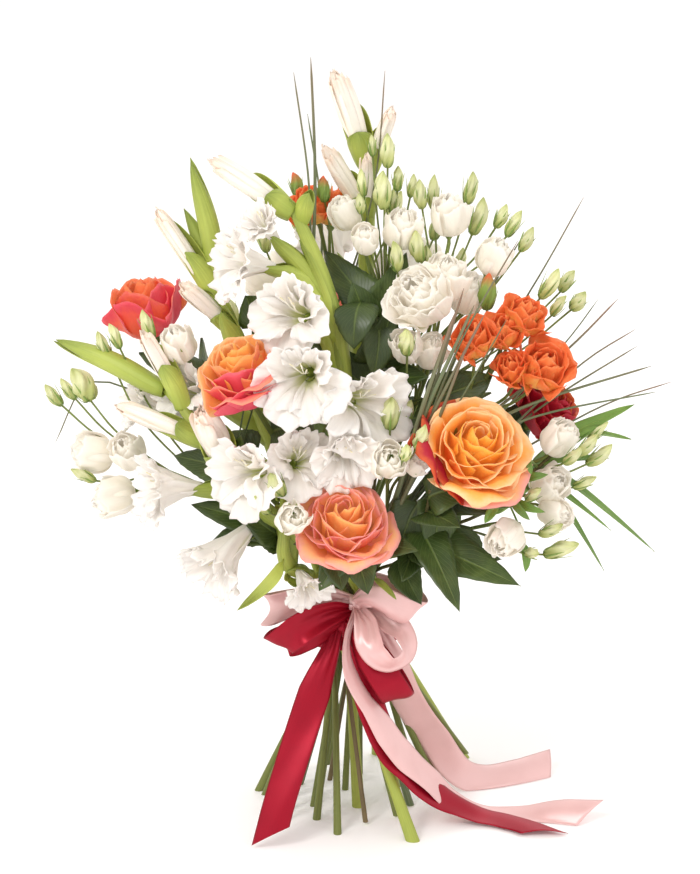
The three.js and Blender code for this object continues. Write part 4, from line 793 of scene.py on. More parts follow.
def bend_clear(rounds):
    """Pushes strands away from each other and from the blooms of other stems. A branch keeps
    to its joint, and each point shares its shift with the points beside it."""
    counts = [len(one.points) for one in strands]
    first = np.concatenate([[0], np.cumsum(counts)[:-1]])
    points = np.concatenate([one.points for one in strands])
    start = points.copy()
    owners = {one.owner: n for n, one in enumerate(strands)}
    seg = np.concatenate([first[n] + np.arange(counts[n] - 1) for n in range(len(strands))])
    owner = np.concatenate([[owners[one.owner]] * (len(one.points) - 1) for one in strands])
    radius = np.concatenate([[one.radius] * (len(one.points) - 1) for one in strands])
    free = np.concatenate([first[n] + np.arange(one.fixed, counts[n] - 1)
                           for n, one in enumerate(strands)]).astype(int)
    ball_at = np.array([at for at, _, _ in balls])
    ball_reach = np.array([reach for _, reach, _ in balls])
    ball_owner = np.array([owners[name] for _, _, name in balls])
    m, n = np.triu_indices(len(seg), 1)
    apart = owner[m] != owner[n]
    m, n = m[apart], n[apart]
    for count in range(rounds):
        if count % SEARCH_EVERY == 0:
            middle = (points[seg] + points[seg + 1]) / 2
            half = np.linalg.norm(points[seg + 1] - points[seg], axis=1) / 2
            gap = np.linalg.norm(middle[m] - middle[n], axis=1)
            close = gap < half[m] + half[n] + radius[m] + radius[n] + SEARCH_REACH
            near_m, near_n = m[close], n[close]
        push = np.zeros_like(points)
        p, u = points[seg], points[seg + 1] - points[seg]
        to_ball = ball_at[:, None] - p[None]
        t = np.clip((to_ball * u).sum(2) / (u * u).sum(1), 0, 1)
        away = p[None] + t[..., None] * u[None] - ball_at[:, None]
        far = np.linalg.norm(away, axis=2)
        short = ball_reach[:, None] + radius[None] + CLEARANCE - far
        short[(short <= 0) | (ball_owner[:, None] == owner[None])] = 0
        away *= (0.5 * short / np.maximum(1e-9, far))[..., None]
        np.add.at(push, seg, (away * (1 - t)[..., None]).sum(0))
        np.add.at(push, seg + 1, (away * t[..., None]).sum(0))
        a, b = seg[near_m], seg[near_n]
        u, w = points[a + 1] - points[a], points[b + 1] - points[b]
        t, k = nearest(points[a], u, points[b], w)
        away = points[a] + t[:, None] * u - points[b] - k[:, None] * w
        far = np.linalg.norm(away, axis=1)
        short = np.maximum(0, radius[near_m] + radius[near_n] + 3 * CLEARANCE - far)
        away *= (0.5 * short / np.maximum(1e-9, far))[:, None]
        np.add.at(push, a, away * (1 - t)[:, None])
        np.add.at(push, a + 1, away * t[:, None])
        np.add.at(push, b, away * (k - 1)[:, None])
        np.add.at(push, b + 1, -away * k[:, None])
        shift = points - start + push
        points[free] = start[free] + 0.75 * shift[free] + 0.125 * (shift[free - 1] + shift[free + 1])
        for which, one in enumerate(strands):
            if one.parent is not None:
                points[first[which]] = points[first[one.parent.place] + one.joint]
    for which, one in enumerate(strands):
        one.points = points[first[which]:first[which] + counts[which]]


# %% [markdown]
# Every petal, leaf and ribbon is a thin closed sheet made from a grid of points. Each corner
# also keeps two sets of numbers that the finishes read: its place on the sheet (along it,
# across it, and which side), and facts about the sheet (its layer in the bloom, a tint of its
# own, and how near its rim it is). Colour can then follow the petal, not the camera.

# %% A piece in the making
class Heap:
    def __init__(self):
        self.corners, self.faces, self.finish = [], [], []
        self.place, self.fact = [], []
        self.count = 0

    def add(self, corners, faces, finish, place, fact):
        number = len(corners)
        self.corners.append(corners)
        for some in faces:
            self.faces.append(some + self.count)
            self.finish.append(np.full(len(some), FINISHES.index(finish)))
        self.place.append(np.broadcast_to(place, (number, 3)))
        self.fact.append(np.broadcast_to(fact, (number, 3)))
        self.count += number

    def mesh(self, name):
        corners = (np.concatenate(self.corners) + SHIFT) * TO_METRES
        mesh = bpy.data.meshes.new(name)
        mesh.vertices.add(len(corners))
        mesh.vertices.foreach_set("co", corners.ravel())
        loops = np.concatenate([some.ravel() for some in self.faces])
        sides = np.concatenate([np.full(len(some), some.shape[1]) for some in self.faces])
        mesh.loops.add(len(loops))
        mesh.loops.foreach_set("vertex_index", loops)
        mesh.polygons.add(len(sides))
        mesh.polygons.foreach_set("loop_start", np.concatenate([[0], np.cumsum(sides)[:-1]]))
        used, index = np.unique(np.concatenate(self.finish), return_inverse=True)
        mesh.polygons.foreach_set("material_index", index)
        mesh.polygons.foreach_set("use_smooth", np.ones(len(sides), bool))
        for number in used:
            mesh.materials.append(MATERIALS[FINISHES[number]])
        for title, values in (("place", self.place), ("fact", self.fact)):
            attribute = mesh.attributes.new(title, "FLOAT_VECTOR", "POINT")
            attribute.data.foreach_set("vector", np.concatenate(values).ravel())
        mesh.update(calc_edges=True)
        return mesh


# %% Closed sheets
def smooth(x, low, high):
    t = np.clip((x - low) / (high - low), 0, 1)
    return t * t * (3 - 2 * t)


def sheet_normals(grid):
    along, across = np.gradient(grid, axis=0), np.gradient(grid, axis=1)
    across[0], across[-1] = across[1], across[-2]
    normal = np.cross(along, across)
    return normal / np.maximum(1e-9, np.linalg.norm(normal, axis=2, keepdims=True))


def grid_of(rows, columns, point):
    """A grid of points [along, across], where point gives the one in a row and a column"""
    return np.array([[point(n, k) for k in range(columns + 1)] for n in range(rows + 1)])


def add_sheet(heap, grid, thick, finish, layer=0.5, tint=0.5):
    """A closed sheet round a grid of points [along, across]. Its front is where the cross
    product of along and across points."""
    rows, columns = grid.shape[:2]
    along = np.linspace(0, 1, rows)[:, None] * np.ones((1, columns))
    across = np.ones((rows, 1)) * np.linspace(-1, 1, columns)[None]
    rim = np.maximum(along, np.abs(across))
    depth = 0.5 * thick * np.where(rim > 0.999, 0.35, 1.0)
    normal = sheet_normals(grid)
    front, back = grid + normal * depth[..., None], grid - normal * depth[..., None]
    number = rows * columns
    index = np.arange(number).reshape(rows, columns)
    quads = np.stack([index[:-1, :-1], index[1:, :-1], index[1:, 1:], index[:-1, 1:]], -1)
    quads = quads.reshape(-1, 4)
    edge = np.concatenate([index[0, :-1], index[:-1, -1], index[-1, :0:-1], index[:0:-1, 0]])
    after = np.roll(edge, -1)
    wall = np.stack([edge, after, after + number, edge + number], -1)
    corners = np.concatenate([front.reshape(-1, 3), back.reshape(-1, 3)])
    side = np.concatenate([np.ones(number), np.zeros(number)])
    place = np.stack([np.tile(along.ravel(), 2), np.tile(across.ravel(), 2), side], 1)
    fact = np.stack([np.full(2 * number, layer), np.full(2 * number, tint),
                     np.tile(rim.ravel(), 2)], 1)
    heap.add(corners, [quads, quads[:, ::-1] + number, wall], finish, place, fact)


# %% Closed tubes and smooth lines
def add_tube(heap, points, radii, sides, finish, flat=1.0, across=ACROSS, tint=0.5, sole=None,
             lobes=0, lobe=0.0, twist=0.0, ends=None):
    """A closed tube along points. lobes flutes its section, and twist turns it as it goes."""
    ways = tangents(points)
    side = square_to(ways[0], across)
    rings = []
    turn = np.linspace(0, 2 * np.pi, sides, endpoint=False)
    total = len(points) - 1
    for n, p in enumerate(points):
        side = square_to(ways[n], side)
        other = np.cross(ways[n], side)
        angle = turn + twist * n / total
        grow = radii[n] * (1 + lobe * np.cos(lobes * turn))
        ring = p + np.outer(grow * np.cos(angle), side)
        ring = ring + flat * np.outer(grow * np.sin(angle), other)
        if sole is not None and n == 0:
            ring += np.outer((sole - ring[:, 2]) / ways[0][2], ways[0])
        rings.append(ring)
    index = np.arange(len(points) * sides).reshape(-1, sides)
    nearby = np.roll(index, -1, axis=1)
    walls = np.stack([index[:-1], nearby[:-1], nearby[1:], index[1:]], -1).reshape(-1, 4)
    rows = np.repeat(np.linspace(0, 1, len(points)), sides)
    place = np.stack([rows, np.tile(turn / (2 * np.pi), len(points)), np.ones(len(rows))], 1)
    fact = np.array([0.5, tint, 0.5])
    heap.add(np.concatenate(rings), [walls], finish, place, fact)
    for n, way in ((0, -1), (len(points) - 1, 1)):
        hub = rings[n].mean(0)[None]
        around = np.arange(sides)
        spokes = np.stack([np.full(sides, sides), around, (around + 1) % sides], 1)
        heap.add(np.concatenate([rings[n], hub]), [spokes[:, ::way]], ends or finish,
                 np.array([float(n > 0), 0.5, 1.0]), fact)


def flowing(points, count):
    """A smooth line through the points, at evenly spread places along it"""
    p = np.array(points, float)
    p = np.concatenate([[2 * p[0] - p[1]], p, [2 * p[-1] - p[-2]]])
    fine = []
    for n in range(1, len(p) - 2):
        for t in np.linspace(0, 1, 9)[:-1]:
            a = 2 * p[n]
            b = p[n + 1] - p[n - 1]
            c = 2 * p[n - 1] - 5 * p[n] + 4 * p[n + 1] - p[n + 2]
            d = -p[n - 1] + 3 * p[n] - 3 * p[n + 1] + p[n + 2]
            fine.append(0.5 * (a + b * t + c * t * t + d * t * t * t))
    fine = np.array([*fine, p[-2]])
    run = np.concatenate([[0], np.cumsum(np.linalg.norm(np.diff(fine, axis=0), axis=1))])
    want = np.linspace(0, run[-1], count)
    return np.stack([np.interp(want, run, fine[:, k]) for k in range(3)], 1)


# %% [markdown]
# A petal starts narrow at the foot of the bloom, runs up and out along a curve, and ends in a
# rounded lip that rolls outwards. With the curve given as radius and height, and the petal's
# width as an angle round the bloom, the same few lines make a tight core petal and a wide
# guard petal. Blender's own modelling tools could shape one petal well, but here about
# seven hundred are needed, each a little different.

# %% The middle surface of one petal, in the bloom's own places
draw = np.random.default_rng(40)


def petal(turn, half, line, curl, roll, wave, crown, power, spiral, ripples=1.4, rows=14,
          columns=16, cup=0.0, frill=0.0, crumple=0.0, jag=0.0):
    """line holds four [radius, height] points of the petal's middle line. Sizes are shares
    of the bloom's radius, turn and half are angles round it. curl and roll turn the lip and
    the corners out, cup widens the foot, crown rounds the top, and spiral makes one side
    overlap the next petal. wave, crumple and frill are ripples from wide to fine, and jag
    tears the edge."""
    along = np.linspace(0, 1, rows + 1)[:, None]
    across = np.linspace(-1, 1, columns + 1)[None]
    side = np.abs(across)
    phase = draw.uniform(0, 2 * np.pi, 6)
    torn = np.sin(7.0 * across + phase[4]) + 0.7 * np.sin(13.0 * across + phase[5])
    reach = along * (1 - crown * side ** power + jag * along ** 4 * torn)
    place = bezier(*(vec(p) for p in line), reach[..., None])
    radius, height = place[..., 0], place[..., 1]
    lift = smooth(reach, 0.6, 1.0)
    radius = radius + curl * lift ** 1.5
    height = height - 0.55 * curl * lift ** 2
    corner = smooth(side, 0.3, 1.0) * smooth(along, 0.3, 1.0)
    radius = radius + roll * corner
    height = height - 0.5 * roll * corner
    radius = radius + cup * side ** 2 * (1 - along)
    shift = draw.uniform(0, 2 * np.pi, 4)
    edge = along ** 2 * (0.35 + 0.65 * side)
    ripple = (np.sin(ripples * np.pi * across + shift[0])
              + 0.5 * np.sin(2.3 * ripples * np.pi * across + 5 * along + shift[1]))
    radius = radius + 0.6 * wave * edge * ripple + 0.02 * np.sin(4 * along + shift[2]) * along
    height = height + wave * edge * ripple
    waves = np.pi * across
    rim = smooth(np.maximum(along, 0.8 * side + 0.2 * along), 0.72, 1.0) * along
    crimp = np.sin(5.2 * waves + shift[1]) + 0.8 * np.sin(8.3 * waves + shift[0] + 2 * along)
    height = height + frill * rim * crimp
    radius = radius + 0.5 * frill * rim * np.sin(6.6 * waves + shift[2])
    folds = (np.sin(1.3 * waves + 3.1 * along + phase[0])
             + np.sin(-2.1 * waves + 2.3 * along + phase[1])
             + 0.6 * np.sin(3.4 * waves + 5.0 * along + phase[2])
             + 0.5 * np.sin(2.7 * waves - 8.0 * along + phase[3]))
    radius = radius + crumple * smooth(along, 0.1, 0.6) * folds
    height = height - 0.5 * crumple * smooth(along, 0.3, 0.9) * folds
    radius = radius + spiral * across
    angle = turn + half * across + 0.04 * np.sin(3 * along + shift[3])
    return np.stack([radius * np.cos(angle), radius * np.sin(angle), height + 0 * across], -1)


def bloom_axes(root, faces, roll=0.0):
    """The bloom's own axes as rows: two across it, and the way it faces"""
    ahead = unit(vec(faces))
    side = square_to(ahead, ACROSS)
    side = side * math.cos(roll) + np.cross(ahead, side) * math.sin(roll)
    return root, np.array([side, np.cross(ahead, side), ahead])


def add_petal(heap, place, radius, grid, thick, finish, layer):
    root, axes = place
    add_sheet(heap, (grid * radius) @ axes + root, thick, finish, layer, draw.uniform(0, 1))


GOLDEN = math.radians(137.5)      # the turn from one petal to the next

# %% Roses
def add_rose(heap, root, way, width, finish, petals, open_, tall, turned, guards):
    """turned: another finish for the outer petals, on which side, and from which layer on"""
    place = bloom_axes(root, way, 0.3)
    radius = 0.46 * width
    top = 1.36 * tall
    for n in range(petals):
        t = n / (petals - 1)
        out = (0.05 + (0.56 + 0.32 * open_) * t ** 1.15) * draw.uniform(0.93, 1.06)
        high = top * (0.96 + 0.05 * math.sin(3 * t) - (0.06 + 0.36 * open_) * t ** 2.0)
        high *= draw.uniform(0.96, 1.04)
        shoulder = max(0.14, out + 0.22 * (1 - t) + 0.18 * (1 - open_) * t - 0.04 * open_ * t)
        line = [[0.07, 0.02], [0.44 + 0.46 * t, 0.04 * high], [shoulder, 0.66 * high], [out, high]]
        turn = n * GOLDEN + draw.uniform(-0.25, 0.25)
        skin = finish
        if turned and t > turned[2]:
            outward = math.cos(turn) * place[1][0] + math.sin(turn) * place[1][1]
            skin = turned[0] if outward @ unit(vec(turned[1])) > 0.35 else finish
        grid = petal(turn, math.radians(116 - 56 * t ** 0.5), line,
                     curl=(0.05 + 0.26 * t) * (0.5 + 0.5 * open_), roll=0.04 + 0.30 * t,
                     wave=0.01 + 0.035 * t, crown=0.18 + 0.16 * t, power=1.7 - 0.3 * t,
                     spiral=0.12 - 0.08 * t, frill=0.004 + 0.012 * t,
                     crumple=0.012 + 0.018 * t, jag=0.006)
        add_petal(heap, place, radius, grid, 0.7, skin, t)
    for direction, skin, drop in guards:
        local = place[1] @ unit(vec(direction))
        line = [[0.10, 0.0], [0.95, 0.0], [0.92, 0.85 * top - drop],
                [1.12 + 0.2 * drop, 0.72 * top - drop]]
        grid = petal(math.atan2(local[1], local[0]), math.radians(48), line, curl=0.12,
                     roll=0.20, wave=0.04, crown=0.30, power=1.5, spiral=0.03, frill=0.012,
                     crumple=0.025)
        add_petal(heap, place, radius, grid, 0.7, skin, 1.0)


def add_spray_rose(heap, root, way, width, roll):
    place = bloom_axes(root, way, roll)
    petals = 15
    for n in range(petals):
        t = n / (petals - 1)
        out = (0.06 + 0.78 * t ** 1.2) * draw.uniform(0.88, 1.10)
        high = 1.80 * (1.0 - 0.26 * t ** 1.8) * draw.uniform(0.90, 1.05)
        line = [[0.08, 0.02], [0.72 + 0.2 * t, 0.04 * high],
                [out + 0.20 * (1 - 0.9 * t), 0.64 * high], [out, high]]
        turn = n * GOLDEN + draw.uniform(-0.3, 0.3)
        grid = petal(turn, math.radians(104 - 46 * t ** 0.6), line, curl=0.03 + 0.24 * t ** 1.5,
                     roll=0.06 + 0.34 * t, wave=0.02 + 0.05 * t, crown=0.30, power=1.5,
                     spiral=0.10 - 0.06 * t, ripples=1.5, rows=12, columns=14,
                     frill=0.016, crumple=0.035, jag=0.012)
        add_petal(heap, place, 0.50 * width, grid, 0.6, "orange petals", t)


# %% Lisianthus
def add_lisianthus(heap, root, way, width, roll):
    """Wide crumpled petals wrapped round each other like a shut tulip. The widest blooms open."""
    place = bloom_axes(root, way, roll)
    open_ = min(1.0, max(0.0, (width - 32) / 18))
    petals = 10 + int(8 * open_)
    for n in range(petals):
        t = n / (petals - 1)
        out = (0.08 + (0.56 + 0.34 * open_) * t ** 1.3) * draw.uniform(0.92, 1.08)
        high = (1.95 - 0.10 * t - 0.42 * open_ * t ** 2) * draw.uniform(0.94, 1.04)
        line = [[0.10, 0.02], [0.80 + 0.16 * t, 0.0], [0.50 + 0.44 * t, 0.62 * high], [out, high]]
        grid = petal(n * GOLDEN + draw.uniform(-0.2, 0.2), math.radians(104 - 42 * t), line,
                     curl=(0.03 + 0.18 * open_) * t, roll=0.02 + 0.12 * t,
                     wave=0.03 + 0.04 * t * open_, crown=0.16, power=1.6, spiral=0.07,
                     ripples=1.5, columns=20, frill=0.022 + 0.020 * open_,
                     crumple=0.035 + 0.020 * open_, jag=0.020)
        add_petal(heap, place, 0.48 * width, grid, 0.5, "lisianthus petals", t)


# %% Gladiolus florets
def add_floret(heap, root, way, width, roll, open_):
    """Six ruffled tepals. The upper ones lean over the throat, and the lower ones hang back."""
    place = bloom_axes(root, way, roll)
    radius = 0.58 * width
    depth = 1.5
    up = place[1] @ UP
    top_turn = math.atan2(up[1], up[0])
    upright = math.hypot(up[0], up[1])
    for n in range(6):
        inner = n % 2
        turn = n * math.pi / 3 + draw.uniform(-0.16, 0.16)
        hood = upright * math.cos(turn - top_turn) * open_
        far = (0.50 + 0.38 * open_ - 0.18 * hood) * draw.uniform(0.88, 1.08)
        high = (1.04 - 0.16 * open_ + 0.12 * hood + 0.06 * inner) * depth
        line = [[0.10, 0.02], [0.20, 0.36 * depth], [0.40 + 0.05 * inner, 0.76 * high], [far, high]]
        grid = petal(turn, math.radians(58 if inner else 66), line, curl=0.14 - 0.16 * hood,
                     roll=-0.16 * open_, wave=0.05, crown=0.20, power=2.2, spiral=0.03,
                     ripples=1.3, rows=18, columns=32, cup=0.02, frill=0.062, crumple=0.030,
                     jag=0.016)
        add_petal(heap, place, radius, grid, 0.45, "gladiolus petals", inner)
    root, axes = place
    for n in range(3):
        angle = 0.7 * (n - 1) + top_turn
        lean = 0.16 + 0.05 * n
        line = [[0.03, 0.3], [0.05, 0.6], [lean, 0.80], [1.3 * lean, 0.90]]
        points = [[r * math.cos(angle), r * math.sin(angle), z * depth] for r, z in line]
        points = flowing(np.array(points) * radius @ axes + root, 7)
        add_tube(heap, list(points), [0.4] * 5 + [0.8, 0.4], 6, "stamen", tint=draw.uniform(0, 1))


# %% [markdown]
# Buds are solid shapes: a lisianthus bud is five petals wrapped round each other, so its
# section has five lobes that twist towards the tip, with thin pointed sepals at its base. A
# gladiolus bud is a fluted cream point in a pair of green sheaths.

# %% Sepals and the buds of sprays
def add_sepals(heap, base, way, radius, length, hug, width):
    """Five narrow sepals that leave the base and follow the bud. hug is how closely."""
    root, axes = bloom_axes(base, way, draw.uniform(0, 6))
    count = 5
    for n in range(count):
        reach = length * draw.uniform(0.85, 1.15)
        line = [[0.35 * radius, -0.4], [1.05 * radius, 0.05 * reach],
                [hug * radius + 0.6, 0.6 * reach], [hug * radius + 0.8 + 0.08 * reach, reach]]
        turn = 2 * math.pi * n / count
        along = np.linspace(0, 1, 7)[:, None]
        across = np.linspace(-1, 1, 3)[None]
        middle = bezier(*(vec(p) for p in line), along[..., None])
        half = 0.5 * width * np.sin(np.pi * (0.12 + 0.86 * along)) ** 0.8 * across
        grid = np.stack([middle[..., 0] * math.cos(turn) - half * math.sin(turn),
                         middle[..., 0] * math.sin(turn) + half * math.cos(turn),
                         middle[..., 1] + 0 * half], -1)
        add_sheet(heap, grid @ axes + root, 0.5, "sepal", tint=draw.uniform(0, 1))


BUD_RISE = [0, 0.08, 0.25, 0.45, 0.65, 0.82, 0.93, 1.0]
BUD_GIRTH = [0.42, 0.72, 0.95, 1.0, 0.87, 0.58, 0.30, 0.08]


def add_bud_shape(heap, base, way, width, length, finish):
    share = np.linspace(0, 1, 17)
    length = length * draw.uniform(1.12, 1.34)
    radii = 0.43 * width * np.interp(share, BUD_RISE, BUD_GIRTH)
    bow = square_to(way, draw.normal(size=3)) * 0.05 * length
    line = [base + way * (length * s) + bow * math.sin(math.pi * s) for s in share]
    add_tube(heap, line, radii, 20, finish, lobes=5, lobe=0.20, twist=draw.uniform(1.4, 2.4),
             tint=draw.uniform(0, 1))
    add_sepals(heap, base, way, 0.40 * width, 0.72 * length, hug=1.0, width=1.6)


# %% Sheaths and the buds of gladiolus
def add_bract(heap, spine, girth, turn, start, end, wrap):
    """A green sheath rolled round a stretch of a line. It hugs the girth and ends in a point."""
    ways = tangents(spine)
    last = len(spine) - 1
    first_side = square_to(ways[0], ACROSS)
    rows, columns = 16, 12
    lean = draw.uniform(-0.25, 0.25)

    def point(n, k):
        share = n / rows
        s = start + (end - start) * share
        low = min(last - 1, int(s * last))
        middle = mix(spine[low], spine[low + 1], s * last - low)
        ahead = ways[min(last, int(round(s * last)))]
        side = square_to(ahead, first_side)
        wide = wrap * max(0.0, 1 - share ** 2.6) ** 0.7 + 0.04
        b = 2 * k / columns - 1
        a = turn + wide * b + lean * share
        r = girth(s) + 0.5 * share + 0.5 * (1 - abs(b)) + 0.25 * math.sin(9 * b + 3 * lean)
        return middle + side * (r * math.sin(a)) + np.cross(ahead, side) * (0.9 * r * math.cos(a))

    add_sheet(heap, grid_of(rows, columns, point), 0.8, "sheath", tint=draw.uniform(0, 1))


def add_sheathed_bud(heap, start, root, tip, width, share):
    """Furled ruffled tepals that stick out of a pair of green sheaths. A bud that its sheath
    hardly covers has already opened into a small floret."""
    along = tip - root
    long = size(along)
    way = unit(along)
    sag = square_to(way, -UP) * 0.03 * long
    spine = flowing([start, mix(root, tip, 0.12), mix(root, tip, 0.5) - sag, tip], 17)
    if share < 0.35:
        facing = unit(way + ACROSS * 0.5 - UP * 0.3)
        add_floret(heap, mix(root, tip, 0.3) + UP * 8, facing, 1.55 * width, 0.4, 0.8)
    elif share < 1:
        place = bloom_axes(root, way, draw.uniform(0, 6))
        radius = 0.5 * width
        tall = 1.02 * long / radius
        for n in range(7):
            t = n / 6
            high = tall * (1.0 - 0.09 * t) * draw.uniform(0.96, 1.03)
            line = [[0.35, 0.0], [0.72, 0.30 * tall], [0.95 - 0.1 * (1 - t), 0.72 * high],
                    [0.04 + 0.46 * t, high]]
            grid = petal(n * GOLDEN, math.radians(100 - 12 * t), line, curl=0.10 * t, roll=0.10,
                         wave=0.05, crown=0.05, power=1.6, spiral=0.14, rows=20, columns=18,
                         frill=0.09, crumple=0.05, jag=0.010)
            add_petal(heap, place, radius, grid, 0.6, "bud_petal", t)

    def girth(s):
        plump = 0.50 * width * math.sin(math.pi * min(1, 0.2 + 0.62 * s ** 0.9)) ** 0.7
        if share >= 1:
            plump *= math.sqrt(max(0.0, 1 - s ** 3)) + 0.04
        return plump + 0.4

    add_bract(heap, spine, girth, math.pi, 0.0, share - 0.12 if share < 1 else 0.97, 2.1)
    add_bract(heap, spine, girth, 0.0, 0.0, min(1.0, share + 0.16), 2.1)


# %% Leaves and grass
def add_leaf_blade(heap, stalk, root, tip, width, aside, finish, teeth, broad):
    rows, columns = 20, 8
    along = tip - root
    middle = mix(root, tip, 0.5)
    wish = UP * 0.6 + unit(vec([middle[0] * 0.4, middle[1], 0])) * 0.9
    side = square_to(unit(along), np.cross(along, wish))
    over = np.cross(side, unit(along))
    if over @ wish < 0:
        over, side = -over, -side
    bare = 0.8 * size(stalk - root) / (size(stalk - root) + size(along))
    bend = root + over * (0.12 * size(along)) + aside
    a = np.linspace(0, 1, rows + 1)[:, None]
    b = np.linspace(-1, 1, columns + 1)[None]
    s = np.clip(a - bare, 0, 1) / (1 - bare)
    half = 0.9 + (width * broad / 2 - 0.9) * np.sin(np.pi * s ** 0.62) ** 0.72
    half = half * (1 - 0.93 * smooth(a, 0.93, 1.0))
    half = half * (1 - teeth * (np.arange(rows + 1)[:, None] % 2) * smooth(s, 0.1, 0.3))
    shift = draw.uniform(0, 6, 2)
    ripple = 0.05 * width * np.sin(7 * s + shift[0] + b) * np.abs(b) ** 2
    weights = (1 - a) ** 2, 2 * a * (1 - a), a * a
    middle = sum(weight[..., None] * p for weight, p in zip(weights, (stalk, bend, tip)))
    grid = (middle + (b * half)[..., None] * side
            + (0.22 * half * np.abs(b) + ripple)[..., None] * over)
    add_sheet(heap, grid[:, ::-1], 0.7, finish, tint=draw.uniform(0, 1))


def add_grass_blade(heap, points, width):
    line = flowing(points, 26)
    radii = 0.5 * width * (1 - 0.62 * np.linspace(0, 1, len(line)) ** 1.3)
    radii[-1] = 0.16
    add_tube(heap, list(line), radii, 6, "grass", flat=0.42, tint=draw.uniform(0, 1))


# %% [markdown]
# ## Finishes
# Petals are thin and let light through, so each petal finish has a little subsurface
# scattering. Its colour runs from the foot to the rim, and differs between the inside and the
# outside of the petal, which is what makes a bicolour rose read as two colours at once.

# %% Petals
MATERIALS = {}
STREAKS = 26.0           # streaks side by side on half a petal
# How far red, green and blue light spread inside a petal, as shares
PALE_SCATTER = (1.0, 0.97, 0.93)
WARM_SCATTER = (1.0, 0.55, 0.4)


def petal_finish(name, heart, face, rim, back, back_rim, rim_from=0.80, streak=0.10, fleck=0.0,
                 scatter=0.25, rough=0.55, core=None, glow=0.10, spread=WARM_SCATTER):
    """glow is painted light: the petal gives off its own colour, which brightens its shade too, like
    light coming through it from behind
    """
    finish = Finish(name, Subsurface_Weight=scatter, Subsurface_Scale=0.005,
                    Subsurface_Radius=spread, Specular_IOR_Level=0.3, Emission_Strength=glow)
    along, across, side = finish.split("place")
    layer, tint, edge = finish.split("fact")
    lines = finish.noise(finish.join(across * STREAKS, along * 2.2, tint * 40), 1.0, 3.0)
    cloud = finish.noise(finish.where(), 190.0, 3.0)
    inside = finish.blend((along + lines * 0.35 - 0.17).between(0.15, 0.62), heart, face)
    rim_mask = (edge + cloud * 0.16 - 0.08).between(rim_from, 1.0)
    inside = finish.blend(rim_mask, inside, rim)
    outside = finish.blend((edge + cloud * 0.3 - 0.15).between(rim_from - 0.25, 1.0), back, back_rim)
    if core is not None:
        outside = finish.blend((layer + cloud * 0.3 - 0.15).between(0.30, 0.75), core, outside)
    colour = finish.blend(side.between(0.4, 0.6), outside, inside)
    if fleck:
        spots = finish.noise(finish.where(), 620.0, 4.0, 0.65).between(0.60, 0.74) * fleck
        colour = finish.blend(spots, colour, rim)
    shade = lines * streak + tint * 0.10 + cloud * 0.06
    colour = finish.node("HueSaturation", {}, {"Value": 1.06 - shade, "Color": colour})
    rough_map = lines * 0.12 + (rough - 0.06)
    height = lines * 0.8 + cloud * 0.5
    MATERIALS[name] = finish.done(colour, rough_map, height, 0.0005, 0.45, glows=True)


# Every petal finish glows a little: painted light that brightens the petals, their shade too.
petal_finish("golden petals", 0xf58a1c, 0xfcb458, 0xfdcb94, 0xe9682e, 0xf6a468, streak=0.08,
             core=0xfbaa44)
petal_finish("peach petals", 0xf59a40, 0xfab47c, 0xf79e94, 0xee7860, 0xee8c8e, fleck=0.3,
             core=0xf9aa62)
petal_finish("sunset petals", 0xf8942a, 0xfab466, 0xf9bc86, 0xdc3c56, 0xec7466, core=0xf8a454)
petal_finish("coral petals", 0xf08034, 0xf49462, 0xf0805c, 0xe65a40, 0xd84456, core=0xec7444)
petal_finish("crimson petals", 0xc8402c, 0xb0203a, 0xd05a30, 0x9a0e28, 0xb41c34, scatter=0.15,
             glow=0.05)
petal_finish("rosy petals", 0xf08a48, 0xf0686c, 0xf48a70, 0xe04a60, 0xe65a68)
petal_finish("orange petals", 0xfcc050, 0xf98a50, 0xf4703e, 0xf9b258, 0xf47a44, streak=0.12,
             core=0xf68248, glow=0.04)
petal_finish("gladiolus petals", 0xdadd92, 0xf7f0e7, 0xfaf5ef, 0xf4ece2, 0xf8f2ea, rim_from=0.7,
             streak=0.08, rough=0.5, glow=0.045, spread=PALE_SCATTER)
petal_finish("lisianthus petals", 0xe9e7b8, 0xf8f0e3, 0xfaf4ea, 0xf4ebd8, 0xf8f1e3, rim_from=0.7,
             streak=0.08, glow=0.085, spread=PALE_SCATTER)
print("petal finishes", list(MATERIALS))

# %% [markdown]
# Buds and sheaths change from green to cream along their length. Ribs run from end to end,
# so their noise is stretched that way.

# %% Buds, sheaths and stamens
def ribbed_finish(name, stops, ribs, rough, bump=0.5, scatter=0.15, contrast=0.16, glow=0.0):
    finish = Finish(name, Subsurface_Weight=scatter, Subsurface_Scale=0.003,
                    Subsurface_Radius=(1.0, 0.9, 0.6), Specular_IOR_Level=0.4,
                    Emission_Strength=glow)
    along, across, _ = finish.split("place")
    tint = finish.split("fact")[1]
    lines = finish.noise(finish.join(across * ribs, along * 1.6, tint * 60), 1.0, 2.0)
    cloud = finish.noise(finish.where(), 150.0, 3.0)
    place = along + lines * 0.30 - 0.15 + cloud * 0.16 - 0.08
    colour = finish.node("ValToRGB", {"stops": stops}, {0: place})
    value = 1.08 + 0.5 * contrast - (lines * contrast + tint * 0.22)
    colour = finish.node("HueSaturation", {}, {"Value": value, "Color": colour})
    MATERIALS[name] = finish.done(colour, lines * 0.15 + rough, lines, 0.0006, bump, glows=True)


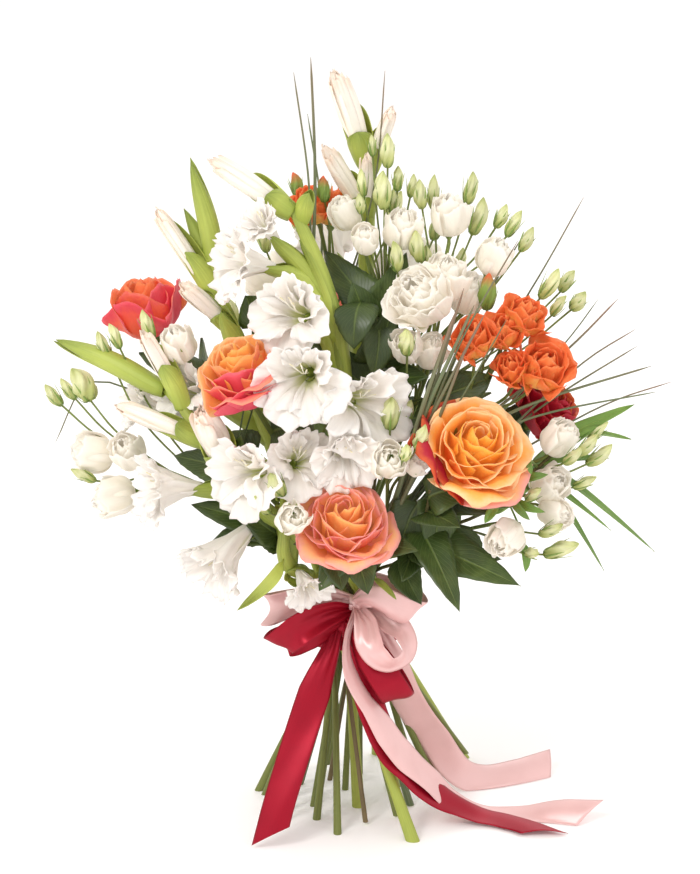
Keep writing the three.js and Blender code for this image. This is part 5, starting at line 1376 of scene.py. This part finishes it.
ribbed_finish("lisianthus bud", [(0.0, 0x94a256), (0.28, 0xbcc27a), (0.60, 0xdfe0b0),
                                 (0.86, 0xced294), (1.0, 0xa8b268)], 7.0, 0.42)
ribbed_finish("rose bud", [(0.0, 0x6c8a3c), (0.58, 0x87a04a), (0.84, 0xb87a40), (1.0, 0xe2562e)],
              6.0, 0.45)
# The cream bud tepals glow a little: painted light that brightens them, their shade too.
ribbed_finish("bud_petal", [(0.0, 0xdfe0a4), (0.35, 0xf8f0e0), (0.8, 0xf9efe2), (1.0, 0xf6e0cc)],
              9.0, 0.5, 0.4, 0.1, glow=0.05)
ribbed_finish("sheath", [(0.0, 0x9cac48), (0.55, 0xb4c05a), (1.0, 0x8c9c44)], 13.0, 0.36, 0.7,
              contrast=0.34)
ribbed_finish("sepal", [(0.0, 0x6f8f42), (0.6, 0x7f9c4c), (1.0, 0x93a860)], 3.0, 0.45)
ribbed_finish("stamen", [(0.0, 0xf2f0d8), (0.8, 0xf6f2e4), (1.0, 0xe9dfb4)], 2.0, 0.5)

# %% [markdown]
# Cut stems are streaked lengthwise and blotched where leaves were stripped off. A leaf has a
# pale midrib and side veins. Both come from the numbers kept at the corners, so they follow
# every bend of the shape, which an image wrapped round it would not do so easily.

# %% Stems
def stem_finish(name, low, high, dark, rough=0.45, streak=0.5):
    finish = Finish(name, Specular_IOR_Level=0.4, Coat_Weight=0.06)
    along, around, _ = finish.split("place")
    tint = finish.split("fact")[1]
    lines = finish.noise(finish.join(around * 24, along * 5, tint * 50), 1.0, 3.0)
    blotch = finish.noise(finish.where((1, 1, 0.35)), 60.0, 4.0, 0.6)
    colour = finish.blend(along.between(0.1, 0.7), low, high)
    colour = finish.blend(lines.between(0.35, 0.8) * streak, colour, dark)
    colour = finish.blend(blotch.between(0.52, 0.72) * 0.35, colour, dark)
    MATERIALS[name] = finish.done(colour, lines * 0.2 + rough, lines + blotch, 0.0005, 0.5)


stem_finish("green stem", 0x727a38, 0x6c7a3a, 0x4a5024)
stem_finish("fresh stem", 0xa2ac4a, 0xa8b848, 0x828f38, 0.4, 0.35)
stem_finish("thin stem", 0x767f40, 0x80904a, 0x545f30)
stem_finish("woody stem", 0x7a6a48, 0x6d6a40, 0x4a3a2a, 0.6)
stem_finish("cut end", 0xc9cf9c, 0xc9cf9c, 0x9aa66c, 0.6)

# %% Leaves
FULL_TURN = 6.283


def leaf_finish(name, blade, vein, under, rough, glossy, veins=15.0):
    finish = Finish(name, Specular_IOR_Level=0.5, Coat_Weight=glossy, Coat_Roughness=0.25)
    along, across, side = finish.split("place")
    tint = finish.split("fact")[1]
    out = across.with_("ABSOLUTE")
    midrib = 1 - out.between(0.02, 0.09)
    wobble = finish.noise(finish.where(), 80.0, 2.0)
    phase = along * veins - out * 4.5 + wobble * 0.8
    side_veins = (phase * FULL_TURN).with_("SINE").between(0.86, 1.0)
    cloud = finish.noise(finish.where(), 55.0, 4.0)
    colour = finish.blend(cloud, blade, vein)
    colour = finish.blend(cloud.between(0.3, 0.9), blade, colour)
    colour = finish.blend(side_veins * 0.35, colour, vein)
    colour = finish.blend(midrib * 0.8, colour, vein)
    colour = finish.blend(side.between(0.4, 0.6), under, colour)
    colour = finish.node("HueSaturation", {}, {"Value": 0.82 + tint * 0.4, "Color": colour})
    fine = finish.noise(finish.where(), 900.0, 2.0)
    height = cloud * 0.5 - side_veins * 0.7 - midrib * 1.2 + fine * 0.15
    MATERIALS[name] = finish.done(colour, cloud * 0.18 + rough, height, 0.0007, 0.6)


leaf_finish("dark leaf", 0x34481a, 0x66783a, 0x6a7a46, 0.34, 0.10)
leaf_finish("light leaf", 0x6a9038, 0x8cac50, 0x86a45a, 0.35, 0.12, 3.0)

# %% Steel grass
def grass_finish():
    finish = Finish("grass", Specular_IOR_Level=0.4)
    along, around, _ = finish.split("place")
    tint = finish.split("fact")[1]
    lines = finish.noise(finish.join(around * 30, along * 8, tint * 70), 1.0, 3.0)
    colour = finish.blend(tint, 0x5c6d48, 0x6c6a4c)
    colour = finish.blend(lines.between(0.4, 0.7) * 0.6, colour, 0x8c9474)
    colour = finish.blend(along.between(0.75, 1.0) * tint, colour, 0x8d6f5c)
    MATERIALS["grass"] = finish.done(colour, lines * 0.15 + 0.45, lines, 0.0004, 0.5)


grass_finish()

# %% [markdown]
# Satin is woven so that long threads float on the surface. The look comes from a fairly
# glossy cloth whose highlights stretch across the threads, with a very fine ribbing.

# %% Satin and cord
def satin_finish(name, base, light, deep, sheen):
    finish = Finish(name, IOR=1.8, Specular_IOR_Level=1.0, Anisotropic=0.6,
                    Specular_Tint=linear(sheen), Coat_Weight=0.03, Coat_Roughness=0.3)
    across, length = finish.split("place")[1], finish.split("fact")[0]
    threads = finish.noise(finish.join(across * 130, length * 3.0, 0.0), 1.0, 2.0)
    weft = finish.noise(finish.join(across * 3.0, length * 900, 0.0), 1.0, 1.0)
    cloud = finish.noise(finish.where(), 45.0, 2.0)
    hem = 1 - across.with_("ABSOLUTE").between(0.90, 0.95)
    colour = finish.blend(threads.between(0.3, 0.7) * 0.35, base, light)
    colour = finish.blend(cloud.between(0.4, 0.8) * 0.3, colour, deep)
    colour = finish.blend((1 - hem) * 0.35, colour, deep)
    height = threads * 0.6 + weft + hem * 1.5
    MATERIALS[name] = finish.done(colour, threads * 0.10 + 0.33, height, 0.00008, 0.5)


satin_finish("red satin", 0x800418, 0x960a24, 0x5a0210, 0xff5468)
satin_finish("pink satin", 0xe6b6b3, 0xeec8c5, 0xd39d9a, 0xffeceb)


def cord_finish():
    finish = Finish("cord", Specular_IOR_Level=0.2)
    along, around, _ = finish.split("place")
    plies = ((along * 60 + around * 3) * FULL_TURN).with_("SINE")
    fuzz = finish.noise(finish.where(), 1800.0, 3.0)
    colour = finish.blend(plies * 0.35 + fuzz * 0.5, 0x8a7048, 0xc3a878)
    MATERIALS["cord"] = finish.done(colour, fuzz * 0.1 + 0.8, plies + fuzz * 0.4, 0.0004, 0.8)


cord_finish()
FINISHES = list(MATERIALS)
print(len(FINISHES), "finishes")

# %% [markdown]
# ## Growing the bouquet
# Strands are added in the same order as in the solids, then bent clear, and only then are the
# shapes made, because they follow the bent lines. Each solid has one heap, and so one piece.

# %% Heaps and heads
heaps = {}
waiting = []           # what grows once the strands are bent
Head = namedtuple("Head", "root way height end swell width")
# A bloom's height as a share of its width, and how thick the stem swells behind it
DEEP = {"rose": 0.60, "spray_rose": 0.70, "lisianthus": 0.85, "gladiolus": 0.80}
NECK = {"rose": 6.5, "spray_rose": 3.6, "lisianthus": 3.0, "gladiolus": 6.0}


def heap_of(name):
    return heaps.setdefault(name, Heap())


def head_of(kind, bloom):
    """Where a bloom sits: its root behind its middle, and the swelling that its stem ends in"""
    *at, width, faces, _ = bloom
    way = unit(vec(faces))
    height = DEEP[kind] * width
    root = vec(at) - way * (0.55 * height)
    swell = NECK[kind] * (width / 60 if kind == "gladiolus" else 1)
    return Head(root, way, height, root - way * (2.2 * swell), swell, width)


def neck_tail(kind, head):
    """The last rings of a stem, which carry it on into its bloom: [point, radius]"""
    root, way, swell, height = head.root, head.way, head.swell, head.height
    if kind == "gladiolus":
        return [[root - way * (0.9 * swell), 0.62 * swell],
                [root + way * (0.10 * height), 0.66 * swell], [root + way * (0.22 * height), 0.8]]
    return [[root - way * (1.2 * swell), 0.45 * swell],
            [root - way * (0.5 * swell), 0.92 * swell], [root + way, 0.75 * swell]]


# %% Blooms with their sepals and bracts
def add_head(stem, head, node, number):
    """One bloom with its sepals"""
    root, way, width = head.root, head.way, head.width
    heap, green = heap_of(node), heap_of(stem.name)
    roll = 0.5 + number
    if stem.kind == "rose":
        finish, petals, open_, lean, share, *rest = ROSE_LOOKS[stem.plant]
        way = unit(way + vec(lean))
        width = width * share
        add_rose(heap, root, way, width, finish, petals, open_, *rest)
        add_sepals(green, root - way * 2, way, 8, 0.34 * width, hug=2.2, width=7)
    elif stem.kind == "spray_rose":
        add_spray_rose(heap, root, way, width, roll)
        add_sepals(green, root - way, way, 5, 0.5 * width, hug=1.8, width=4.5)
    elif stem.kind == "lisianthus":
        add_lisianthus(heap, root, way, width, roll)
        add_sepals(green, root - way * 2, way, 4, 0.55 * width, hug=2.2, width=2.4)
    else:
        add_floret(heap, root, way, width, roll, SPREAD[stem.plant][number])
    balls.append((root + way * (0.5 * head.height), 0.32 * width, stem.name))


def wrap_floret(heap, points, head):
    """The two bracts that hide a floret's tube from its stem to its petals"""
    root, way, width = head.root, head.way, head.width
    spine = flowing([*points, root, root + way * (0.42 * head.height)], 17)

    def girth(s):
        return 3.0 + (0.085 * width) * math.sin(math.pi * min(1.0, 0.15 + 0.75 * s))

    add_bract(heap, spine, girth, math.pi, 0.05, 0.98, 1.9)
    add_bract(heap, spine, girth, 0.0, 0.02, 0.80, 2.0)


def wrap_spike(stem):
    """Bracts one above another along a gladiolus spike, by turns at its left and right"""
    spine = flowing(list(stem.strand.points), 40)
    thick = 0.5 * stem.radius + 3.2
    for number, start in enumerate(BRACTS[stem.plant]):
        turn = math.pi + (0.8 if number % 2 else -0.8)
        add_bract(heap_of(stem.name), spine, lambda s: thick, turn, start, min(1.0, start + 0.20), 1.7)


# %% How each flower looks
# Each rose: finish, number of petals, how far it has opened, how it leans, its width as a share
# of its solid's, its height, its outer petals of another finish with the side they are on and
# the layer they start from, and the guard petals that hang: which way, finish, how low
ROSE_LOOKS = {
    "rose_1": ["golden petals", 28, 0.95, [-0.05, 0.05, 0.1], 1.0, 1.08,
               ["crimson petals", [-1, 0, 0], 0.86],
               [[[0.5, -0.2, -0.8], "peach petals", 0.5], [[-0.2, 0, -1], "golden petals", 0.3],
                [[-1, -0.1, -0.15], "crimson petals", 0.12]]],
    "rose_2": ["peach petals", 24, 0.85, [0, 0.15, 0.12], 0.84, 1.25, None,
               [[[0.9, -0.1, -0.4], "peach petals", 0.7], [[0.1, -0.3, -1], "peach petals", 0.45],
                [[-0.7, -0.2, -0.7], "peach petals", 0.5]]],
    "rose_3": ["sunset petals", 24, 0.75, [-0.08, 0.15, 0.3], 1.04, 1.3,
               ["rosy petals", [0.7, -0.5, -0.5], 0.6],
               [[[0.6, -0.6, -0.5], "rosy petals", 0.1], [[0.2, -0.6, -0.8], "rosy petals", 0.3]]],
    "rose_4": ["coral petals", 14, 0.1, [0, 0, 0], 1.08, 1.0,
               ["rosy petals", [1, -0.3, 0], 0.4], []],
    "rose_5": ["crimson petals", 20, 0.6, [0, 0, 0], 1.1, 1.0, None, []],
    "rose_6": ["peach petals", 24, 0.7, [0, 0, 0], 1.0, 1.0, None, []],
}
# How far each open floret of a gladiolus has spread, from a funnel at 0 to flat at 1
SPREAD = {"gladiolus_1": [0.7, 0.8, 1, 0.7, 1, 0.65], "gladiolus_2": [0.5],
          "gladiolus_3": [0.8, 1], "gladiolus_4": [0.35, 1, 0.9], "gladiolus_5": [0.9, 0.5]}
# Where along each spike's stem an empty bract starts
BRACTS = {"gladiolus_1": [0.50, 0.58, 0.66, 0.74, 0.82], "gladiolus_2": [0.60, 0.70, 0.80],
          "gladiolus_3": [0.62, 0.72, 0.82], "gladiolus_4": [0.72],
          "gladiolus_5": [0.55, 0.66, 0.78]}
STEM_FINISH = {"rose": "green stem", "spray_rose": "green stem", "gladiolus": "fresh stem",
               "lisianthus": "thin stem", "foliage": "woody stem", "grass": "grass"}

# %% Branches and buds
TWIG = 0.42            # a bud's branch is this share of its stem's radius
TWIG_SIDES = 7
FLORET_TUBE = 2.4      # radius of the tube behind an open floret


def add_rod(stem, strand, radii, tail, sides, finish, sole=None):
    """A stem or branch with slight knots. sole is the height at which it is cut level."""
    line = list(strand.points)
    fine = flowing(line, 4 * (len(line) - 1) + 1)
    many = np.interp(np.linspace(0, len(line) - 1, len(fine)), np.arange(len(line)), radii)
    joints = 1 + 0.05 * np.sin(np.linspace(0, 17, len(fine)) + draw.uniform(0, 6))
    points = [*fine, *(point for point, _ in tail)]
    radii = [*(many * joints), *(radius for _, radius in tail)]
    flat = 0.78 if finish == "fresh stem" and sole is not None else 1.0
    add_tube(heap_of(stem.name), points, radii, sides, finish, flat, tint=draw.uniform(0, 1),
             sole=sole, ends="cut end" if sole is not None else None)


def add_branch(stem, end, way, radius, tail):
    points, joint, _ = branch_from(stem.strand, end, way)
    branch = add_strand(stem.name, points, radius, 1, stem.strand, joint)
    finish = "thin stem" if stem.kind in ("lisianthus", "spray_rose") else "sheath"
    radii = [radius] * len(points)
    waiting.append(lambda: add_rod(stem, branch, radii, tail, TWIG_SIDES, finish))
    return branch


def bud_line(stem, bud):
    middle = vec(bud[:3])
    way = branch_from(stem.strand, middle)[2]
    return middle, way, middle - way * (0.5 * bud[4])


def grow_bud(stem, base, way, width, length):
    finish = "rose bud" if stem.kind == "spray_rose" else "lisianthus bud"
    waiting.append(lambda: add_bud_shape(heap_of(stem.name), base, way, width, length, finish))


def add_bud(stem, bud):
    middle, way, base = bud_line(stem, bud)
    width = bud[3]
    balls.append((middle, 0.5 * width, stem.name))
    add_branch(stem, base, way, TWIG * stem.radius, [[base + way, 0.30 * width]])
    grow_bud(stem, base, way, *bud[3:])


# %% Leaves, sheathed buds and blades
# finish, depth of the teeth on the rim, and width as a share of the solid leaf's
DARK_LEAF = ("dark leaf", 0.04, 1.45)
LEAF_LOOKS = {"foliage_right": ("light leaf", 0.0, 1.15), "gladiolus": ("sheath", 0.0, 1.15)}


def nearest_on(strand, place):
    best = strand.points[2]
    for n in range(2, len(strand.points) - 1):
        p, q = strand.points[n], strand.points[n + 1]
        t = min(1.0, max(0.0, float((place - p) @ (q - p)) / float((q - p) @ (q - p))))
        near = mix(p, q, t)
        if size(near - place) < size(best - place):
            best = near
    return best


def add_leaf(stem, leaf):
    root, tip, width = vec(leaf[0]), vec(leaf[1]), leaf[2]
    rib = add_strand(stem.name, [root, mix(root, tip, 0.5), tip], 0.3 * width, 1)
    finish, teeth, broad = LEAF_LOOKS.get(stem.plant) or LEAF_LOOKS.get(stem.kind, DARK_LEAF)

    def grow():
        stalk = nearest_on(stem.strand, root)
        aside = 2 * (rib.points[1] - rib.start[1])
        add_leaf_blade(heap_of(stem.name), stalk, root, tip, width, aside, finish, teeth, broad)
    waiting.append(grow)


def add_sheath(stem, bud):
    root, tip, width, share = vec(bud[0]), vec(bud[1]), *bud[2:]
    add_strand(stem.name, [root, mix(root, tip, 0.5), tip], 0.4 * width, 3)

    def grow():
        start = mix(nearest_on(stem.strand, root), root, 0.3)
        add_sheathed_bud(heap_of(stem.name), start, root, tip, width, share)
    waiting.append(grow)


def blade_line(stem, blade, number):
    on, tip = vec(blade[0]), vec(blade[1])
    joint = len(stem.strand.points) - 2 - number % 4
    root = stem.strand.points[joint]
    first = root + tangents(stem.strand.points)[joint] * (0.3 * size(on - root))
    return [root, mix(first, on, 0.3), mix(first, on, 0.8), mix(on, tip, 0.25), tip], joint


def add_blade(stem, blade, number):
    line, joint = blade_line(stem, blade, number)
    strand = add_strand(stem.name, line, 0.45 * blade[2], 1, stem.strand, joint)
    waiting.append(lambda: add_grass_blade(heap_of(stem.name), list(strand.points), blade[2]))


# %% Set out the stems
PLANTS = {"rose": ROSES, "spray_rose": SPRAY_ROSES, "lisianthus": LISIANTHUS,
          "gladiolus": GLADIOLUS, "foliage": FOLIAGE, "grass": GRASSES}
stems = [Stem(plant, kind, table)
         for kind, plants in PLANTS.items() for plant, table in plants.items()]
pack_stems(stems)
print("stems packed at the binding:", len(stems))

# %% Plant everything on its stem
def stem_radii(stem, count):
    taper = 0.5 if stem.kind == "gladiolus" else 0.25
    radii = [stem.radius * (1 - taper * max(0, n - 1) / count) for n in range(count + 1)]
    radii[0] *= 1.25
    return radii


def plant(stem):
    stem.strand = add_strand(stem.name, stem_line(stem), stem.radius, 2)
    radii = stem_radii(stem, len(stem.strand.points) - 1)
    tail = neck_tail(stem.kind, stem.head) if stem.head else []
    sides = 12 if stem.level else 9
    finish = STEM_FINISH[stem.kind]
    waiting.append(lambda: add_rod(stem, stem.strand, radii, tail, sides, finish, stem.foot[2]))


def dress(stem):
    gladiolus = stem.kind == "gladiolus"
    for number, bloom in enumerate(stem.table.get("blooms", [])):
        head = head_of(stem.kind, bloom)
        add_head(stem, head, stem.name if bloom[-1] == STEM else f"{stem.plant}_{bloom[-1]}", number)
        if gladiolus or number > 0:
            radius = FLORET_TUBE if gladiolus else 0.6 * stem.radius
            tail = neck_tail(stem.kind, head)
            branch = add_branch(stem, head.end, head.way, radius, tail)
        if gladiolus:
            waiting.append(lambda b=branch, h=head: wrap_floret(heap_of(stem.name), b.points, h))
    if gladiolus:
        waiting.append(lambda: wrap_spike(stem))
    for bud in stem.table.get("buds", []):
        (add_sheath if gladiolus else add_bud)(stem, bud)
    for leaf in stem.table.get("leaves", []):
        add_leaf(stem, leaf)
    for number, blade in enumerate(stem.table.get("blades", [])):
        add_blade(stem, blade, number)


for stem in stems:
    plant(stem)
for stem in stems:
    dress(stem)
bend_clear(BEND_ROUNDS)
for step in waiting:
    step()
print("strands", len(strands), "pieces so far", len(heaps))

# %% The smallest buds, leaves and blades, which bend nothing else
for stem in stems:
    waiting.clear()
    for bud in MORE_BUDS.get(stem.plant, []):
        middle, way, base = bud_line(stem, bud)
        points = branch_from(stem.strand, base, way)[0]
        twig = Strand(stem.name, points, TWIG * stem.radius, 1)
        tail = [[base + way, 0.30 * bud[3]]]
        add_rod(stem, twig, [twig.radius] * len(points), tail, TWIG_SIDES, "thin stem")
        grow_bud(stem, base, way, *bud[3:])
    for leaf in MORE_LEAVES.get(stem.plant, []):
        add_leaf(stem, leaf)
    for number, blade in enumerate(MORE_BLADES.get(stem.plant, [])):
        add_grass_blade(heap_of(stem.name), blade_line(stem, blade, number)[0], blade[2])
    for step in waiting:
        step()
print("heaps", len(heaps), "corners", sum(heap.count for heap in heaps.values()))

# %% [markdown]
# ## Binding and ribbons
# A florist ties the spiral with cord and then winds each ribbon once round it, knots it in
# front and pulls out the loops of a bow. Each ribbon is one long strip, so its band, knot,
# loops and tails are strips of the same width that start and end in the knot. A cloth
# simulation could drape them, but the folds of a bow are held by the knot, so the strips are
# laid along named lines instead, and pleated where the knot gathers them.

# %% Cord
CORD = 1.2             # radius of the cord
CORD_TURNS = 2.4
CORD_STEPS = 150


def reach_of(stem):
    """How far a slanting stem's outside is from the middle, at the binding"""
    away = math.hypot(*stem.slot)
    return away + stem.radius * math.hypot(away, TURN_HEIGHT) / TURN_HEIGHT


bundle = max(reach_of(stem) for stem in stems)


def bundle_at(rise):
    """The bundle's outside widens away from the binding as a hyperboloid does"""
    return bundle * math.hypot(1, rise / TURN_HEIGHT)


def add_cord():
    line = []
    radius = bundle - SEAT + CORD
    for s in np.linspace(0, 1, CORD_STEPS + 1):
        angle = 2 * math.pi * CORD_TURNS * s
        rise = 2 * CORD * CORD_TURNS * (s - 0.5)
        line.append(vec([radius * math.cos(angle), radius * math.sin(angle), TIE_HEIGHT + rise]))
    add_tube(heap_of("tie_cord"), line, [CORD] * len(line), 10, "cord", across=UP)


add_cord()
print("bundle radius at the binding", round(bundle, 2), "mm")

# %% Strips of ribbon
RIBBON_WIDTH = 26
RIBBON_THICK = 0.5
BAND_HEIGHT = 18         # the ribbon's width, folded where it goes round the stems
FLOOR_GAP = 0.8          # a tail that lies on the surface rests this high


def add_strip(heap, finish, points, widths, count, columns, pleats, belly, ease, turn=0.0,
              slant=0.0):
    """A strip along a line, whose width runs as each point says. pleats gathers its ends,
    belly bows its section, and ease waves it a little."""
    line, across = [vec(p[:3]) for p in points], [vec(p[3:6]) for p in points]
    middle = flowing(line, count + 1)
    run, stops = np.linspace(0, len(line) - 1, count + 1), np.arange(len(line))
    hints = np.stack([np.interp(run, stops, [a[k] for a in across]) for k in range(3)], 1)
    wide = np.interp(run, stops, widths)
    ways = tangents(middle)
    b = np.linspace(-1, 1, columns + 1)
    grid = np.zeros((count + 1, columns + 1, 3))
    length = float(np.linalg.norm(np.diff(middle, axis=0), axis=1).sum())
    for n in range(count + 1):
        side = square_to(ways[n], hints[n])
        if n > 0 and side @ side_before < 0:
            side = -side
        side_before = side
        out = np.cross(ways[n], side)
        gather = 1 - min(1.0, wide[n] / RIBBON_WIDTH)
        fold = pleats * gather * np.sin(b * 3.2 * np.pi + turn) + belly * (1 - b * b)
        fold = fold + ease * np.sin(2.6 * b + 8 * n / count + turn) * (1 - 0.8 * gather)
        grid[n] = middle[n] + np.outer(b * wide[n] / 2, side) + np.outer(fold, out)
        late = max(0.0, n / count - 0.8) / 0.2
        grid[n] += np.outer(b * slant * late, ways[n])
    grid[..., 2] = np.maximum(grid[..., 2], FLOOR_GAP)
    add_sheet(heap, grid, RIBBON_THICK, finish, length * TO_METRES, draw.uniform(0, 1))
    return length


# %% Bands and knots
def add_band(heap, finish, rise):
    """One turn round the stems, gathered into soft lengthwise folds"""
    rows, columns = 72, 14

    def point(n, k):
        angle = 2 * math.pi * n / rows * 1.04 + math.pi * 0.46
        share = k / columns
        up = rise + (share - 0.5) * BAND_HEIGHT
        fold = math.sin(share * 15 + 2.2 * math.sin(angle) + 0.8 * math.sin(3 * angle))
        radius = bundle_at(up) + 2 * CORD + SEAT + 0.9 + 0.9 * fold
        radius += 0.012 * n
        return [radius * math.cos(angle), radius * math.sin(angle), TIE_HEIGHT + up]

    length = 2 * math.pi * bundle_at(rise)
    add_sheet(heap, grid_of(rows, columns, point), RIBBON_THICK, finish, length * TO_METRES)
    return length


KNOT_RADIUS = 8.6        # these are for a knot of size 1
KNOT_HALF_WIDTH = 8.5
KNOT_WRAP = 2 * math.pi * 7.5    # length of ribbon in it


def add_knot(heap, finish, knot, size_):
    """The short wrap over the middle of the bow, pleated along its way round"""
    rows, columns = 40, 12

    def point(n, k):
        angle = 2 * math.pi * n / rows * 1.05 + math.pi / 2
        b = 2 * k / columns - 1
        pleat = 0.7 * math.sin(5.2 * b + math.sin(angle))
        radius = KNOT_RADIUS - 2.2 * b * b + pleat + 0.02 * n
        y, z = -0.85 * radius * math.sin(angle), radius * math.cos(angle)
        return knot + vec([KNOT_HALF_WIDTH * b, y, z]) * size_

    add_sheet(heap, grid_of(rows, columns, point), RIBBON_THICK, finish, 0.05)
    return KNOT_WRAP * size_


# %% Tie both bows
lengths = {}
for name, bow in BOWS.items():
    heap = heap_of(name)
    finish = name.replace("ribbon_", "") + " satin"
    length = add_band(heap, finish, bow["rise"])
    length += add_knot(heap, finish, vec(bow["knot"]), bow["knot_size"])
    for number, loop in enumerate(bow["loops"]):
        widths = [RIBBON_WIDTH * p[6] for p in loop]
        length += add_strip(heap, finish, loop, widths, count=72, columns=16, pleats=2.4,
                            belly=3.0, ease=1.6, turn=1.7 * number)
    for tail, slant in zip(bow["tails"], bow["slants"]):
        widths = [RIBBON_WIDTH * min(1, 0.3 + 0.35 * n) for n in range(len(tail))]
        length += add_strip(heap, finish, tail, widths, count=100, columns=12, pleats=1.8,
                            belly=1.0, ease=0.9, slant=slant)
    lengths[name] = length
    print(name, "is", round(length), "mm long")

# %% [markdown]
# ## Pieces
# Every heap becomes one object. It rides on the one body and takes the place of its solid.

# %% Turn the heaps into pieces
def slot_name(name):
    if name.startswith("ribbon_"):
        return name.replace("ribbon_", "") + "_satin"
    if name == "tie_cord":
        return "cord"
    if name.startswith("grass"):
        return "grass"
    if name.startswith("foliage"):
        return "leaf"
    if name.endswith("_stem"):
        return "fresh_stem" if name.startswith("gladiolus") else "stem"
    if name.startswith("rose_"):
        return {"rose_4": "coral", "rose_5": "crimson"}.get(name[:6], "apricot") + "_petal"
    return "orange_petal" if name.startswith("spray") else "white_petal"


total = 0
for name, heap in heaps.items():
    mesh = heap.mesh(name + ".fine")
    piece = bpy.data.objects.new(name + ".fine", mesh)
    bpy.context.scene.collection.objects.link(piece)
    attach(piece, "root")
    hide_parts(name)
    slot_name(name)
    total += sum(len(p.vertices) - 2 for p in mesh.polygons)
missing = sorted(set(frame["nodes"]) - set(heaps))

for name, length in lengths.items():
    length * TO_METRES
